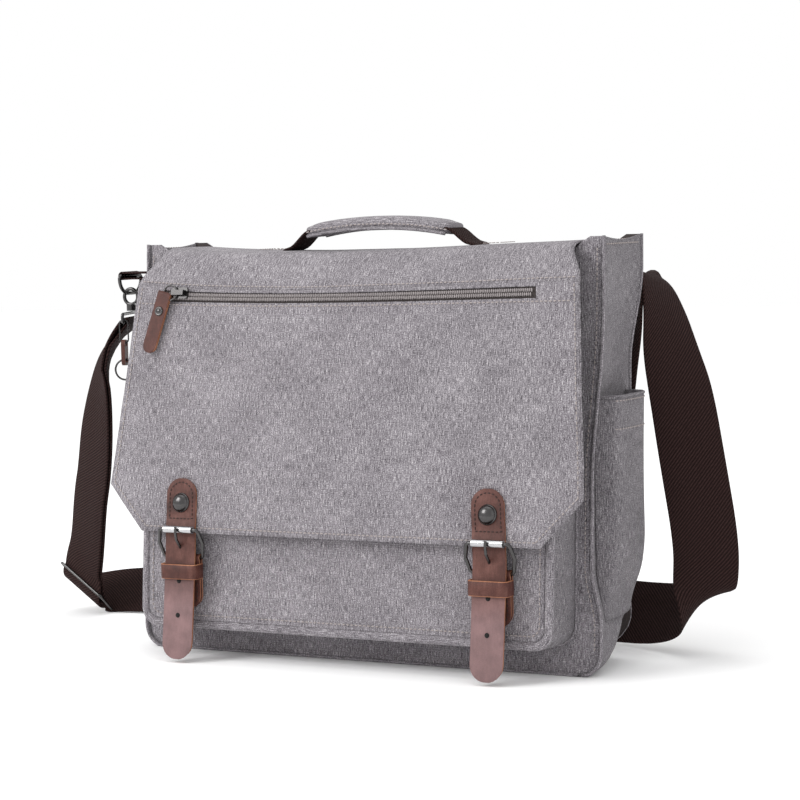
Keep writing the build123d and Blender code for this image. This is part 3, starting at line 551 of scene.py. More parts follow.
def spline(points, name):
    """Points along the NURBS curve that has these control points, in millimetres."""
    data = bpy.data.curves.new(name, "CURVE")
    data.dimensions = "3D"
    data.resolution_u = 10
    line = data.splines.new("NURBS")
    line.points.add(len(points) - 1)
    for p, at in zip(line.points, points):
        p.co = (*at, 1)
    line.order_u = 3
    line.use_endpoint_u = True
    obj = bpy.data.objects.new(name, data)
    bpy.context.scene.collection.objects.link(obj)
    bpy.context.view_layer.update()
    mesh = bpy.data.meshes.new_from_object(obj)
    out = [v.co.copy() for v in mesh.vertices]
    bpy.data.objects.remove(obj)
    bpy.data.meshes.remove(mesh)
    return out


def web_profile(wide, thick):
    """Section of a woven band with softened edges."""
    w, t = wide / 2, thick / 2
    return [(-w, -t * 0.5), (-w + 0.9, -t), (-w / 3, -t), (w / 3, -t), (w - 0.9, -t), (w, -t * 0.5),
            (w, t * 0.5), (w - 0.9, t), (w / 3, t), (-w / 3, t), (-w + 0.9, t), (-w, t * 0.5)]


def band_ups(middles, widths):
    """The face direction at every point of a band, from its middles and width directions."""
    out = []
    for k, w in enumerate(widths):
        ahead = (middles[min(k + 1, len(middles) - 1)] - middles[max(k - 1, 0)]).normalized()
        out.append(w.cross(ahead).normalized())
    return out


strap_mid = spline([p for p, w in strap_route], "route")
strap_side = spline([Vector(p) + Vector(w).normalized() * 25 for p, w in strap_route], "route_side")
strap_wide = [(b - a).normalized() for a, b in zip(strap_mid, strap_side)]
strap_up = band_ups(strap_mid, strap_wide)
sweep("strap_web", strap_mid, web_profile(STRAP_W, STRAP_T), [WEBBING], "bag", ["shoulder_strap"],
      ups=strap_up)

# the doubled end lies behind the climbing strand, over the eye's bar and round the adjuster's middle bar
climb_start = min(range(len(strap_mid)), key=lambda k: (strap_mid[k] - Vector((-341, 92, 43))).length)
climb_end = min(range(len(strap_mid)), key=lambda k: (strap_mid[k] - Vector((-250, 30.6, 249))).length)
end_mid = [Vector(by_eye(t)[0]) for t in (0, 30, 60, 90, 120, 150, 180)]
end_wide = [EYE_ACROSS] * 7
for k in range(climb_end, climb_start - 1, -3):
    end_mid.append(strap_mid[k] + strap_up[k] * STRAP_GAP)
    end_wide.append(strap_wide[k])
for along_web, out in ((8, -4.8), (3, -3.1), (0, -2.8), (-2.0, -2.0), (-2.8, 0), (-2.0, 2.0), (0, 2.7),
                       (2, 2.7)):
    end_mid.append(Vector(by_glide(along_web, out)[0]))
    end_wide.append(GLIDE_X)
end_up = band_ups(end_mid, end_wide)
strap_end = sweep("strap_end_web", end_mid, web_profile(STRAP_W - 0.4, STRAP_T), [WEBBING], "bag",
                  ["strap_end"], ups=end_up)

# ---- shape of the bag ----------------------------------------------------------------------------
HALF_W = 200  # half the bag's width
EAR_Z = 324   # top of the ears
FRONT_Z = 318  # top of the front panel's slope
CORNER = 18   # radius of the lower corners at the front
CLOTH = 1.4   # thickness of the canvas
SIDES = (("left", -1), ("right", 1))


def front_y(z):
    """The front panel's face: it leans forward towards the base."""
    return 4 - 21.8 * (FRONT_Z - z) / FRONT_Z


def back_y(z):
    return 75.4 - 13.4 * (EAR_Z - z) / EAR_Z - 5 * back_pinch(z)


def back_pinch(z):
    """How far the back is drawn in at mid height."""
    return ramp(z, 300, 225) * ramp(z, 20, 60)


def half_front(z):
    return HALF_W - 8 * ramp(z, 265, 140) * ramp(z, 38, 80)


def half_back(z):
    return HALF_W - 8 * back_pinch(z)


def rounded(half, z, low, radius):
    """Half width of a panel whose lower corners are rounded."""
    lift = z - low
    if lift >= radius:
        return half
    return half - radius + sqrt(max(radius ** 2 - (radius - lift) ** 2, 0))


def sag(x):
    """How far the middle of the flap's top sinks."""
    return 4.7 * max(0, 1 - (x / 186) ** 2) * (1 - 0.28 * max(-1.5, min(1.5, x / 100)))


def rim_z(x):
    """Top of a panel: it sags with the flap and rises to an ear at either side."""
    ear = ramp(abs(x), 176, 189)
    return (317.4 - sag(x) - 1.5) * (1 - ear) + EAR_Z * ear


def column(low, high, count, corner):
    """Heights close together in a rounded corner and evenly spaced above it."""
    arc = [low + corner * (1 - cos(pi / 12 * k)) for k in range(6)]
    return arc + spread(low + corner, high, count)


def corner_r(depth):
    """Radius of the body's lower corners, which slump more towards the back."""
    return CORNER + 40 * ramp(depth, 0.1, 1)


def panel(face_y, half, inset=0.0):
    """The surface of the front or back panel, or of its lining when inset."""
    inward = 1 if face_y is front_y else -1

    def fn(u, v):
        z = v * (rim_z(u * HALF_W) - 3 * inset) / EAR_Z if v > 60 else v
        z = max(z, inset)
        h = rounded(half(z), z, 0, corner_r(0 if face_y is front_y else 1)) - inset
        x = u * h
        curl = 1.6 * abs(u) ** 14
        return x, face_y(z) + inward * (curl + inset) + 0.7 * rough_ground(x, 0, z, 55, 3), z
    return fn


wide_grid = [-1 + 2 * k / 72 for k in range(73)]
tall_grid = column(0, EAR_Z, 44, CORNER)
cloth("front_canvas", wide_grid, tall_grid, panel(front_y, half_front), CLOTH, [CANVAS, LINING], "bag",
      ["front_panel"], back=1, weave=0)
cloth("back_canvas", wide_grid, tall_grid, panel(back_y, half_back), CLOTH, [CANVAS, LINING], "bag",
      ["back_panel"], back=1, flip=True, weave=0)
cloth("lining_front", wide_grid[::2], tall_grid, panel(front_y, half_front, 2.2), 0.5, [LINING], "bag",
      ["lining"])
cloth("lining_back", wide_grid[::2], tall_grid, panel(back_y, half_back, 2.2), 0.5, [LINING], "bag", (),
      flip=True)


BASE_HALF = HALF_W - CORNER


def wrap(depth, step, inset=0.0):
    """The strip round both sides and the base: step counts along it, depth goes from front to back."""
    kind, sign, value = step
    r = corner_r(depth)
    edge = half_front(r) + (half_back(r) - half_front(r)) * depth
    if kind == "side":
        z = EAR_Z - (EAR_Z - value) * (EAR_Z - r) / (EAR_Z - CORNER)
        x = half_front(z) + (half_back(z) - half_front(z)) * depth - inset
        x -= 2.2 * sin(pi * depth) * ramp(z, EAR_Z, 290)
        z -= (3 * inset + 3 * sin(pi * depth)) * ramp(z, 270, EAR_Z)
        return sign * x, front_y(z) + (back_y(z) - front_y(z)) * depth, z
    if kind == "corner":
        z = r - (r - inset) * cos(value)
        x = edge - r + (r - inset) * sin(value)
        return sign * x, front_y(z) + (back_y(z) - front_y(z)) * depth, z
    return value * (edge - r) / BASE_HALF, front_y(0) + (back_y(0) - front_y(0)) * depth, inset


wrap_steps = [("side", -1, z) for z in spread(EAR_Z, CORNER, 40)]
wrap_steps += [("corner", -1, pi / 2 * (1 - k / 8)) for k in range(1, 8)]
wrap_steps += [("base", 0, x) for x in spread(-BASE_HALF, BASE_HALF, 24)]
wrap_steps += [("corner", 1, pi / 2 * k / 8) for k in range(1, 8)]
wrap_steps += [("side", 1, z) for z in spread(CORNER, EAR_Z, 40)]
depth_grid = spread(0, 1, 16)
steps_index = range(len(wrap_steps))
# the gusset takes the darker canvas copy: painted shade on the bag's sides
cloth("gusset_canvas", depth_grid, steps_index, lambda u, v: wrap(u, wrap_steps[v]), CLOTH, [CANVAS_PAINTED_SHADE],
      "bag", ["gusset"])
cloth("lining_gusset", depth_grid, steps_index, lambda u, v: wrap(0.03 + 0.94 * u, wrap_steps[v], 2.3), 0.5,
      [LINING], "bag", ())

# bound rims and the seams' rolled edges
for side, sign in SIDES:
    for face, depth, proud in (("front", 0, -0.4), ("back", 1, 0.4)):
        seam = [wrap(depth, ("side", sign, z)) for z in spread(EAR_Z, CORNER, 50)]
        seam += [wrap(depth, ("corner", sign, pi / 2 * (1 - k / 8))) for k in range(1, 9)]
        seam = [(x + sign * 0.2, y + proud, max(z + 0.3, 1.4)) for x, y, z in seam]
        rolled_edge(f"{face}_seam_{side}", seam, 1.35, (sign, 0, 0.01))
    rows = [[(sign * x, y, z) for y in ends]
            for x, z, ends in ((200.3, 318, (8, 71)), (199.5, 321, (20, 60)))]
    stitches(f"rim_stitch_{side}", rows, "bag", out=(sign, 0, 0))
rolled_edge("base_seam", [(x, front_y(0) - 0.4, 1.3) for x in spread(-BASE_HALF, BASE_HALF, 30)], 1.3,
            (0, 0, 1))
stitches("front_stitch", [[(side * (half_front(z) - 5), front_y(z) - 0.5, z) for z in spread(316, 20, 40)]
                          for side in (-1, 1)], "bag")

# the padded divider and the board
def divider(u, v):
    """A sheet leaning back a little, bowed in the middle."""
    z = 7 + 261 * v
    return u * BASE_HALF, 44 - 10 * (1 - v) - 1.2 * sin(pi * v) * (1 - u ** 4), z


pad = cloth("divider_pad", spread(-1, 1, 24), spread(0, 1, 20), divider, 5.0, [LINING], "bag",
            ["laptop_divider"])


def board(u, v):
    """A flat sheet on the base, narrower at the back where the body's corners are rounder."""
    deep = (v + 13) / 71
    return u * (181 - 30 * max(0, deep) ** 1.5), v, 3.4


cloth("board_sheet", spread(-1, 1, 24), spread(-12, 57, 12), board, 1.8, [BOARD], "bag", ["base_board"])

# ---- front pocket --------------------------------------------------------------------------------
POCKET_HALF, POCKET_LOW, POCKET_HIGH = 172, 31, 165
POCKET_TOP = 158  # where the pocket's rolled edge, side and piping end


def pocket_y(z):
    return -55 + 11.5 * (z - POCKET_LOW) / (POCKET_HIGH - POCKET_LOW)


def pocket_front(u, z):
    """The pocket's face, slightly filled."""
    x = u * rounded(POCKET_HALF, z, POCKET_LOW, 9)
    crown = 1.8 * (1 - u ** 6) * sin(pi * min(1, (z - POCKET_LOW) / 200))
    return x, pocket_y(z) - crown + 0.9 * rough_ground(x, 0, z, 50, 7), z


def trough(half, low, high, radius, count=26):
    """A U-shaped line: down the left side, along the foot and up the right side, as (x, z)."""
    left = [(-half, z) for z in spread(high, low + radius, count)]
    left += [(-half + radius * (1 - cos(pi / 2 * k / 8)), low + radius * (1 - sin(pi / 2 * k / 8)))
             for k in range(1, 9)]
    foot = [(x, low) for x in spread(-half + radius, half - radius, 40)][1:]
    right = [(-x, z) for x, z in left[::-1]]
    return left + foot + right[1:]


cloth("pocket_canvas", wide_grid, column(POCKET_LOW, POCKET_HIGH, 26, 9), pocket_front, CLOTH, [CANVAS],
      "bag", ["pocket_face"], weave=0)
sweep("pocket_roll", [(x, pocket_y(z) + 1.6, z) for x, z in trough(175.4, 27.6, POCKET_TOP, 12)],
      [(3.5 * cos(tau * k / 14), 3.2 * sin(tau * k / 14)) for k in range(14)], [CANVAS], "bag",
      ["pocket_border"], ups=(0, -1, 0))
inner_line, outer_line = trough(177.2, 25.8, POCKET_TOP, 13), trough(179.4, 23.6, POCKET_TOP, 15)


def pocket_side(u, v):
    """The pocket's side, swelling outwards between its face and the bag."""
    (x0, z0), (x1, z1) = inner_line[v], outer_line[v]
    x, z = x0 + (x1 - x0) * u, z0 + (z1 - z0) * u
    swell = 1.8 * sin(pi * u)
    out = Vector((1 if x > 0 else -1, 0, 0)) if abs(x) > 170 and z > 42 else Vector((0, 0, -1))
    y = pocket_y(z) + 3.4 + (front_y(z) - 0.6 - pocket_y(z) - 3.4) * u
    return x + out.x * swell, y, z + out.z * swell


# the front pocket's sides take the darker canvas copy: painted shade
cloth("pocket_side_canvas", spread(0, 1, 12), range(len(inner_line)), pocket_side, 1.2, [CANVAS_PAINTED_SHADE], "bag",
      ["pocket_gusset"])
rolled_edge("pocket_cord", [(x, front_y(z) - 1.1, z) for x, z in trough(180.4, 22.6, POCKET_TOP, 16)], 1.2,
            (0, -1, 0), ["pocket_piping"])
stitches("pocket_stitch", [[(x, pocket_front(x / POCKET_HALF, z)[1] - 0.4, z)
                            for x, z in trough(168.2, 35, POCKET_TOP, 8)]], "bag")

# ---- side pockets --------------------------------------------------------------------------------
SIDE_LOW, SIDE_HIGH = 40, 206
plan = [(0, -3), (9, 1.0), (12.6, 9), (13.8, 20), (14.2, 34), (13.6, 46), (9.5, 54), (0, 59)]


def side_plan(u):
    """Standoff from the body and depth, round the pocket from its front seam to its back seam."""
    t = u * (len(plan) - 1)
    k = min(int(t), len(plan) - 2)
    f = t - k
    a, b = plan[max(k - 1, 0)], plan[k]
    c, d = plan[k + 1], plan[min(k + 2, len(plan) - 1)]
    return [0.5 * (2 * b[i] + (c[i] - a[i]) * f + (2 * a[i] - 5 * b[i] + 4 * c[i] - d[i]) * f ** 2
                   + (3 * b[i] - a[i] - 3 * c[i] + d[i]) * f ** 3) for i in range(2)]


for side, sign in SIDES:
    def side_canvas(u, z, sign=sign):
        """The pocket's wall: full at its mouth, flat against the body at its foot."""
        out, y = side_plan(u)
        full = 0.12 + 0.88 * ramp(z, 38, 104) ** 0.7
        deep = max(0, min(1, (y - front_y(z)) / (back_y(z) - front_y(z))))
        foot = rounded(half_front(z) + (half_back(z) - half_front(z)) * deep, z, 0, corner_r(deep))
        waist = 1 - 0.10 * sin(pi * (z - SIDE_LOW) / (SIDE_HIGH - SIDE_LOW))
        bridge = (HALF_W - foot) * min(1, out / 9) * 0.8 * ramp(z, 38, 80)
        x = foot - 0.6 + (out * full * waist + bridge)
        return sign * x, y - 1.5 * (1 - full) + 0.6 * rough_ground(x, y, z, 40, 11 + sign), z

    # the side pockets and their rims take the darker canvas copy: painted shade
    cloth(f"side_pocket_canvas_{side}", spread(0, 1, 42), spread(SIDE_LOW, SIDE_HIGH, 34), side_canvas, 1.3,
          [CANVAS_PAINTED_SHADE], "bag", [f"side_pocket_{side}"], flip=sign < 0)
    hem = [side_canvas(u, SIDE_HIGH) for u in spread(0, 1, 40)]
    rolled_edge(f"side_pocket_rim_{side}", [(x - sign * 0.5, y, z) for x, y, z in hem], 1.3, (0, 0, 1),
                tint=CANVAS_PAINTED_SHADE)
    lines = []
    for height in (182, 203):
        line = [side_canvas(u, height) for u in spread(0.14, 0.9, 30)]
        lines.append([(x + sign * 0.2, y, z) for x, y, z in line])
    stitches(f"side_pocket_stitch_{side}", lines, "bag", out=(sign, 0, 0))

# ---- flap ----------------------------------------------------------------------------------------
YOKE_Z, KNEE_Z, HEM_Z = 292.7, 135.8, 100.5  # seam above the zip, start of the cut corners, lower edge
BELT_X = 134.0  # both belts hang this far from the middle
# the flap's section from the back seam over the top and down to the yoke's seam: y, z, share of the sag
flap_line = [(77.3, 304, 0.2), (77.2, 312, 0.6), (76.4, 317.4, 0.9), (73.5, 320.4, 1), (66, 321.3, 1),
             (40, 321.6, 1), (14, 321.4, 1), (7.0, 321.0, 1), (1.6, 319.9, 1), (-3.6, 317.2, 1),
             (-8.5, 312.6, 1), (-14.5, 305.0, 1), (-19.3, 298.8, 1.02), (-23.7, YOKE_Z, 1.05)]
FOLD_ROW = len(flap_line) - 7  # the flap's front edge, where its top ends and its yoke begins


def flap_y(z):
    """The hanging flap leans out over the front pocket."""
    return -23.7 - 36.7 * (YOKE_Z - z) / (YOKE_Z - HEM_Z)


def flap_half(z):
    """Half width of the flap: it widens downwards and its lower corners are cut off."""
    if z >= YOKE_Z:
        return 179 + 13 * ramp(z, 321, YOKE_Z)
    if z >= KNEE_Z:
        return 192 + 13 * (YOKE_Z - z) / (YOKE_Z - KNEE_Z)
    return 205 - 32.5 * (KNEE_Z - z) / (KNEE_Z - HEM_Z)


def sink(z):
    """Share of the top's sag that is left this far down the hanging flap."""
    table = [(293, 1.05), (285.7, 0.68), (270, 0.45), (200, 0)]
    if z >= 293:
        return 1.05
    for (z0, s0), (z1, s1) in zip(table, table[1:]):
        if z >= z1:
            return s1 + (s0 - s1) * (z - z1) / (z0 - z1)
    return 0


def flap_top(u, v):
    """The flap over the bag's mouth; v counts along flap_line."""
    k = min(int(v), len(flap_line) - 2)
    f = v - k
    y, z, s = (a + (b - a) * f for a, b in zip(flap_line[k], flap_line[k + 1]))
    half = 182 if y > 14 else 179 + 3 * ramp(y, 1, 14)
    x = u * (half if y > 0 else flap_half(z))
    dip = sag(x) * s
    ripple = 0.5 * (1 - u ** 8) * rough_ground(x, y, 0, 60, 5)
    return x, y + 0.5 * rough_ground(x, y, z, 45, 2), z - dip + ripple


def flap_hang(u, v):
    """The hanging front; v is the height before sagging. It lies flat under the belts' tabs."""
    x = u * flap_half(v)
    z = v - sag(x) * sink(v)
    from_belt = abs(abs(x) - BELT_X)
    if from_belt < 22 and v < 150:
        return x, flap_y(v), z
    swell = 1.43 * sin(pi * min(1, max(0, (YOKE_Z - v) / (YOKE_Z - HEM_Z)))) * (1 - u ** 4)
    fine = 0.9 * rough_ground(x, 0, z, 48, 4) + 0.5 * rough_ground(x, 0, z, 19, 9)
    calm = ramp(YOKE_Z - v, 0, 30) * (ramp(v - HEM_Z, -4, 20) if from_belt < 24 else 1)
    return x, flap_y(v) - swell - fine * calm, z


top_rows = [k / 2 for k in range(2 * FOLD_ROW + 1)]
fold_rows = [FOLD_ROW + k / 3 for k in range(3 * 6 + 1)]
top = cloth("flap_top_canvas", wide_grid, top_rows, flap_top, CLOTH, [CANVAS, LINING], None,
            ["flap_top", "flap_top_lining"], back=1, flip=True, weave=0)
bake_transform(top)
yoke = cloth("flap_yoke_canvas", wide_grid, fold_rows, flap_top, CLOTH, [CANVAS, LINING], None,
             ["flap_yoke"], back=1, flip=True, weave=0)
FOLD = ("flap_top", "flap_front", (0, 0.0065, 0.3205), (0, -0.0065, 0.3125))
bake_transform(yoke)

ZIP_LEFT, ZIP_RIGHT, ZIP_HIGH, ZIP_LOW = -168.0, 158.0, 289.4, 280.6
ZIP_Z = 285
zip_ends = [ZIP_LEFT / flap_half(ZIP_Z), ZIP_RIGHT / flap_half(ZIP_Z)]
columns = sorted(set(round(x, 4) for x in wide_grid + zip_ends))
rows = [YOKE_Z, 291, ZIP_HIGH, 287, ZIP_Z, 283, ZIP_LOW]
rows += spread(278, KNEE_Z, 44) + spread(KNEE_Z, HEM_Z, 10)[1:]


def window(u, v):
    """The slit that the zip closes."""
    x = u * flap_half(ZIP_Z)
    return ZIP_LOW < v < ZIP_HIGH and ZIP_LEFT < x < ZIP_RIGHT


cloth("flap_front_canvas", columns, rows, flap_hang, 1.3, [CANVAS, LINING], "flap_front",
      ["flap_front", "flap_lining"], back=1, hole=window, flip=True, weave=0)


def on_flap(x, z, out=0.0):
    """A point on the hanging flap's outer face, so far out from it."""
    _, y, sunk = flap_hang(x / flap_half(z), z)
    return x, y - out, sunk


cloth("zip_cloth", spread(-170, 160, 60), [291.2, 288, ZIP_Z, 282, 279.2],
      lambda u, v: on_flap(u, v, -1.6), 0.5, [TAPE], "flap_front", ["zip_tape"], flip=True)
TOOTH = 1.55  # pitch of the teeth, and how far each row stands from the middle
coil = bmesh.new()
for x in [ZIP_LEFT + 6 + TOOTH * k for k in range(int((ZIP_RIGHT - ZIP_LEFT - 8) / TOOTH))]:
    for row in (-1, 1):
        spot = Vector(on_flap(x + 0.4 * row, 285.1 + row * TOOTH, 0.15))
        for v in bmesh.ops.create_icosphere(coil, subdivisions=1, radius=1.0)["verts"]:
            v.co = Vector((v.co.x * 0.62, v.co.y * 0.95, v.co.z * 1.75)) * MM + spot * MM
finish_mesh("zip_coil", coil, [COIL], "flap_front", ["zip_chain"])
stitches("flap_zip_stitch", [[on_flap(x, 278.2, 0.25) for x in spread(-188, 188, 60)]], "flap_front")
edge_lines = []
for s in (-1, 1):
    edge_lines.append([on_flap(s * (flap_half(z) - 4), z, 0.25) for z in spread(291, 137.5, 50)])
    edge_lines.append([on_flap(s * (201 - 32.2 * t), 137.5 - 33 * t, 0.25) for t in (0, 0.5, 1)])
edge_lines.append([on_flap(x, HEM_Z + 4, 0.25) for x in spread(-169, 169, 60)])
stitches("flap_edge_stitch", edge_lines, "flap_front")
yoke_lines = [[tuple(Vector(flap_top(u, len(flap_line) - 1.35)) + Vector((0, -0.5, 0.4)))
               for u in spread(-0.985, 0.985, 60)]]
stitches("yoke_stitch", yoke_lines, None, out=(0, -0.8, 0.6), blend=FOLD)

# ---- closures ------------------------------------------------------------------------------------
BELT_W = 27.0
LEATHER_STITCH = {"pitch": 3.3, "long": 2.2, "wide": 0.5, "proud": 0.0, "thread": THREAD_DARK,
                  "slot": "leather"}


def lean(x, z):
    """The hung flap carries the tops of the belts a little to the left."""
    return (-4.5 if x > 0 else -2.5) * ramp(z, 84, 140)


def leather_strip(name, x, line, wide, thick, body, nodes, end_r, tint=LEATHER, blend=None):
    """A strip of leather along a line of (y, z), with both ends rounded and raw edges. A blended strip
    is left in world space with no body, and leans as the belts do."""
    points = [Vector((0, y, z)) for y, z in line]
    gone = [0.0]
    for a, b in zip(points, points[1:]):
        gone.append(gone[-1] + (b - a).length)
    total = gone[-1]
    ends = [end_r * (1 - cos(pi / 2 * k / 7)) + 0.15 for k in range(7)]
    spots = ends + spread(end_r + 0.2, total - end_r - 0.2, 44) + [total - d for d in ends]
    spots = sorted(set(round(spot, 3) for spot in spots))

    def fn(u, v):
        k = max(i for i in range(len(gone) - 1) if gone[i] <= v + 1e-9)
        f = (v - gone[k]) / (gone[k + 1] - gone[k])
        p = points[k] + (points[k + 1] - points[k]) * f
        half = wide / 2
        from_end = min(v, total - v)
        if from_end < end_r:
            half += sqrt(max(end_r ** 2 - (end_r - from_end) ** 2, 0)) - end_r
        worn = 0.35 * abs(u) ** 8
        aside = lean(x, p.z) if blend else 0
        return x + aside + u * half, p.y + worn, p.z

    across = [-1, -0.97, -0.9, -0.75, -0.5, -0.25, 0, 0.25, 0.5, 0.75, 0.9, 0.97, 1]
    obj = cloth(name, across, spots, fn, thick, [tint, LEATHER_EDGE], None if blend else body, nodes,
                rim=1, flip=True)
    if blend:
        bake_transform(obj)


STUD_Z = 123.6
STUD_DOME = [(7.6, 0), (7.7, 0.5), (7.3, 1.0), (6.9, 1.2), (6.7, 1.7), (6.0, 2.9), (4.7, 3.9), (2.8, 4.6),
             (1.2, 4.85), (0, 4.9)]
KEEPER_BAND = [(-0.8, -5.3), (-0.35, -5.8), (0.35, -5.8), (0.8, -5.3), (0.8, 5.3), (0.35, 5.8), (-0.35, 5.8),
               (-0.8, 5.3)]


def belt_y(z):
    """The belt hangs forwards from its bend under the tab."""
    return -61.6 - 12.6 * (105.5 - z) / 102.5


# near-black material for the belts' holes: painted shade standing in for the dark inside of each hole
PAINTED_HOLE_SHADE = plain_material("hole", (12, 9, 9), 0.9)
for side, x in (("left", -BELT_X), ("right", BELT_X)):
    line = [(flap_y(z) - 2.2, z) for z in (142.5, 138, 132, 126, 120, 115, 111)]
    line += [(-61.9, 107.5), (-62.7, 105.5)]
    line += [(belt_y(z) - 1.1, z) for z in (103, 100, 90, 80, 70, 60, 50, 40, 30)]
    line += [(belt_y(z) - 1.1 - 0.6 * ramp(z, 30, 3), z) for z in (22, 14, 8, 3)]
    swing = ("flap_front", f"closure_{side}", (x * MM, -0.0612, 0.1095), (x * MM, -0.0620, 0.1015))
    leather_strip(f"belt_leather_{side}", x, line, BELT_W, 2.2, None, [f"belt_tab_{side}", f"belt_{side}"],
                  12.8, LEATHER_BELT, swing)
    edge = [(-10.4, z) for z in (112, 116, 120, 124, 128, 131)]
    edge += [(-10.4 * cos(pi * k / 14), 129.5 + 9.8 * sin(pi * k / 14)) for k in range(15)]
    edge += [(10.4, z) for z in (128, 124, 120, 116, 112)] + [(9, 111.5), (0, 111.5), (-10.4, 111.5)]
    border = [(x + lean(x, z) + px, flap_y(z) - 2.4, z) for px, z in edge]
    stitches(f"tab_stitch_{side}", [border], "flap_front", **LEATHER_STITCH)
    # each belt hole is a thin near-black disc on the leather: painted shade
    for z in (63.5, 37):
        lathe(f"belt_hole_{side}_{int(z)}", (x, belt_y(z) - 1.0 - 0.25, z), (0, -1, 0.12),
              [(0, -0.1), (1.9, -0.1), (1.9, 0.08), (0, 0.08)], [PAINTED_HOLE_SHADE], f"closure_{side}", (), 20)
    lathe(f"stud_dome_{side}", (x + lean(x, STUD_Z), flap_y(STUD_Z) - 2.25, STUD_Z), (0, -1, 0.191),
          STUD_DOME, [METAL], "flap_front", [f"stud_{side}"], 40)

    # anchor tab round the heel bar
    loop = [(-58.3, 43)] + [(-57.9, z) for z in (50, 60, 70, 78)]
    loop += [(-59.8 + 3.1 * cos(pi * k / 10), 81 + 3.1 * sin(pi * k / 10)) for k in range(11)]
    loop += [(-62.0, z) for z in (78, 70, 60, 50)] + [(-61.9, 43)]
    leather_strip(f"anchor_leather_{side}", x + 1.2, loop, BELT_W + 1.4, 1.5, f"closure_{side}",
                  [f"anchor_tab_{side}"], 9)
    edge = [(x + 12.8, -62.2, z) for z in (76, 66, 56, 50)]
    edge += [(x + 12.8 - 4 * (1 - cos(pi / 8 * k)), -62.2, 50 - 4 * sin(pi / 8 * k)) for k in (2, 4)]
    stitches(f"anchor_stitch_{side}", [edge], f"closure_{side}", **LEATHER_STITCH)

    # keeper: a band round belt and anchor tab
    wide, deep, r = 12.6, 3.75, 3.0  # to the centres of the corners, and the corners' radius
    ring = []
    for cx, cy, start in ((wide, deep, 0), (-wide, deep, 90), (-wide, -deep, 180), (wide, -deep, 270)):
        turns = [radians(start + 22.5 * k) for k in range(5)]
        ring += [(x + cx + r * cos(t), -62.9 + cy + r * sin(t), 70.8) for t in turns]
    sweep(f"keeper_leather_{side}", ring, KEEPER_BAND, [LEATHER, LEATHER_EDGE], f"closure_{side}",
          [f"keeper_{side}"], ups=(0, 0, 1), closed=True, edge_faces=(0, 1, 2, 4, 5, 6))

# ---- zip pull ------------------------------------------------------------------------------------
# the pull hangs from the slider's ring, a little to the left, flat against the flap
PULL = Vector((-158.5, -29.2112, 286.497))
PULL_OUT, PULL_UP = Vector((0, -0.982253, 0.187558)), Vector((0, 0.187558, 0.982253))
PULL_DOWN = Vector((-sin(radians(14)), 0, 0)) - PULL_UP * cos(radians(14))
PULL_SIDE = Vector((cos(radians(14)), 0, 0)) - PULL_UP * sin(radians(14))
PULL_TOP = PULL + Vector((-4.6, 0, 0)) + PULL_UP * 0.6


PULL_R, PULL_LONG = 6.0, 44.0  # radius of its round end, and its length down to that radius's centre
RIVET_HEAD = [(3.7, 0), (3.8, 0.3), (3.5, 0.8), (2.9, 1.0), (2.5, 0.75), (2.2, 0.75), (1.8, 1.1), (0.9, 1.4),
              (0, 1.45)]


def pull_layer(level):
    """One of the pull's two layers of leather, this far out from the ring."""
    def fn(u, v):
        half = PULL_R if v < PULL_LONG else sqrt(max(PULL_R ** 2 - (v - PULL_LONG) ** 2, 0.01))
        bow = 0.5 * (v / (PULL_LONG + PULL_R)) ** 2
        out = level + bow - 0.12 * abs(u) ** 6
        return tuple(PULL_TOP + PULL_DOWN * v + PULL_SIDE * (u * half) + PULL_OUT * out)
    return fn


pull_rows = spread(0, PULL_LONG, 20) + [PULL_LONG + PULL_R * sin(pi / 2 * k / 8) for k in range(1, 9)]
pull_columns = [-1, -0.95, -0.8, -0.4, 0, 0.4, 0.8, 0.95, 1]
for layer, level, nodes in (("front", 1.55, ["zip_pull_leather"]), ("back", 0.15, ())):
    cloth(f"pull_leather_{layer}", pull_columns, pull_rows, pull_layer(level), 1.3, [LEATHER, LEATHER_EDGE],
          "zip_pull", nodes, rim=1, flip=True)
lathe("pull_rivet_head", PULL_TOP + PULL_DOWN * 16 + PULL_OUT * 1.6, PULL_OUT, RIVET_HEAD, [METAL],
      "zip_pull", ["zip_pull_rivet"])

# ---- handle --------------------------------------------------------------------------------------
def grip_z(x):
    """The grip's arch."""
    return 337.2 - 5.6 * (abs(x) / 62) ** 2.2


HANDLE_Y = 36.0
GRIP_STEPS = 36
grip = [(x, HANDLE_Y, grip_z(x)) for x in spread(-63, 63, GRIP_STEPS)]


def grip_shape(k):
    """The grip's section at a step along it: a padded oblong, smaller at both ends."""
    full = 0.80 + 0.20 * ramp(min(k, GRIP_STEPS - k), 0, 3)
    turns = [(cos(tau * j / 20), sin(tau * j / 20)) for j in range(20)]
    return [(15.6 * full * (abs(c) ** 0.6) * (1 if c > 0 else -1),
             5.6 * full * (abs(s) ** 0.85) * (1 if s > 0 else -1)) for c, s in turns]


body_grip = sweep("grip_canvas", grip, None, [CANVAS], "flap_top", ["handle_grip"],
                  ups=(0, 0, 1), profile_at=grip_shape)
for s in (-1, 1):
    rolled_edge(f"grip_cord_{'front' if s < 0 else 'back'}",
                [(x, HANDLE_Y + s * 15.2, grip_z(x) - 3.9) for x in spread(-61, 61, 34)], 1.35, (0, 0, 1),
                body="flap_top")
stitches("grip_stitch", [[(x, HANDLE_Y - 15.6, grip_z(x) - 0.6) for x in spread(-62, 62, 34)]], "flap_top",
         out=(0, -1, 0.2), slot="canvas_edge")
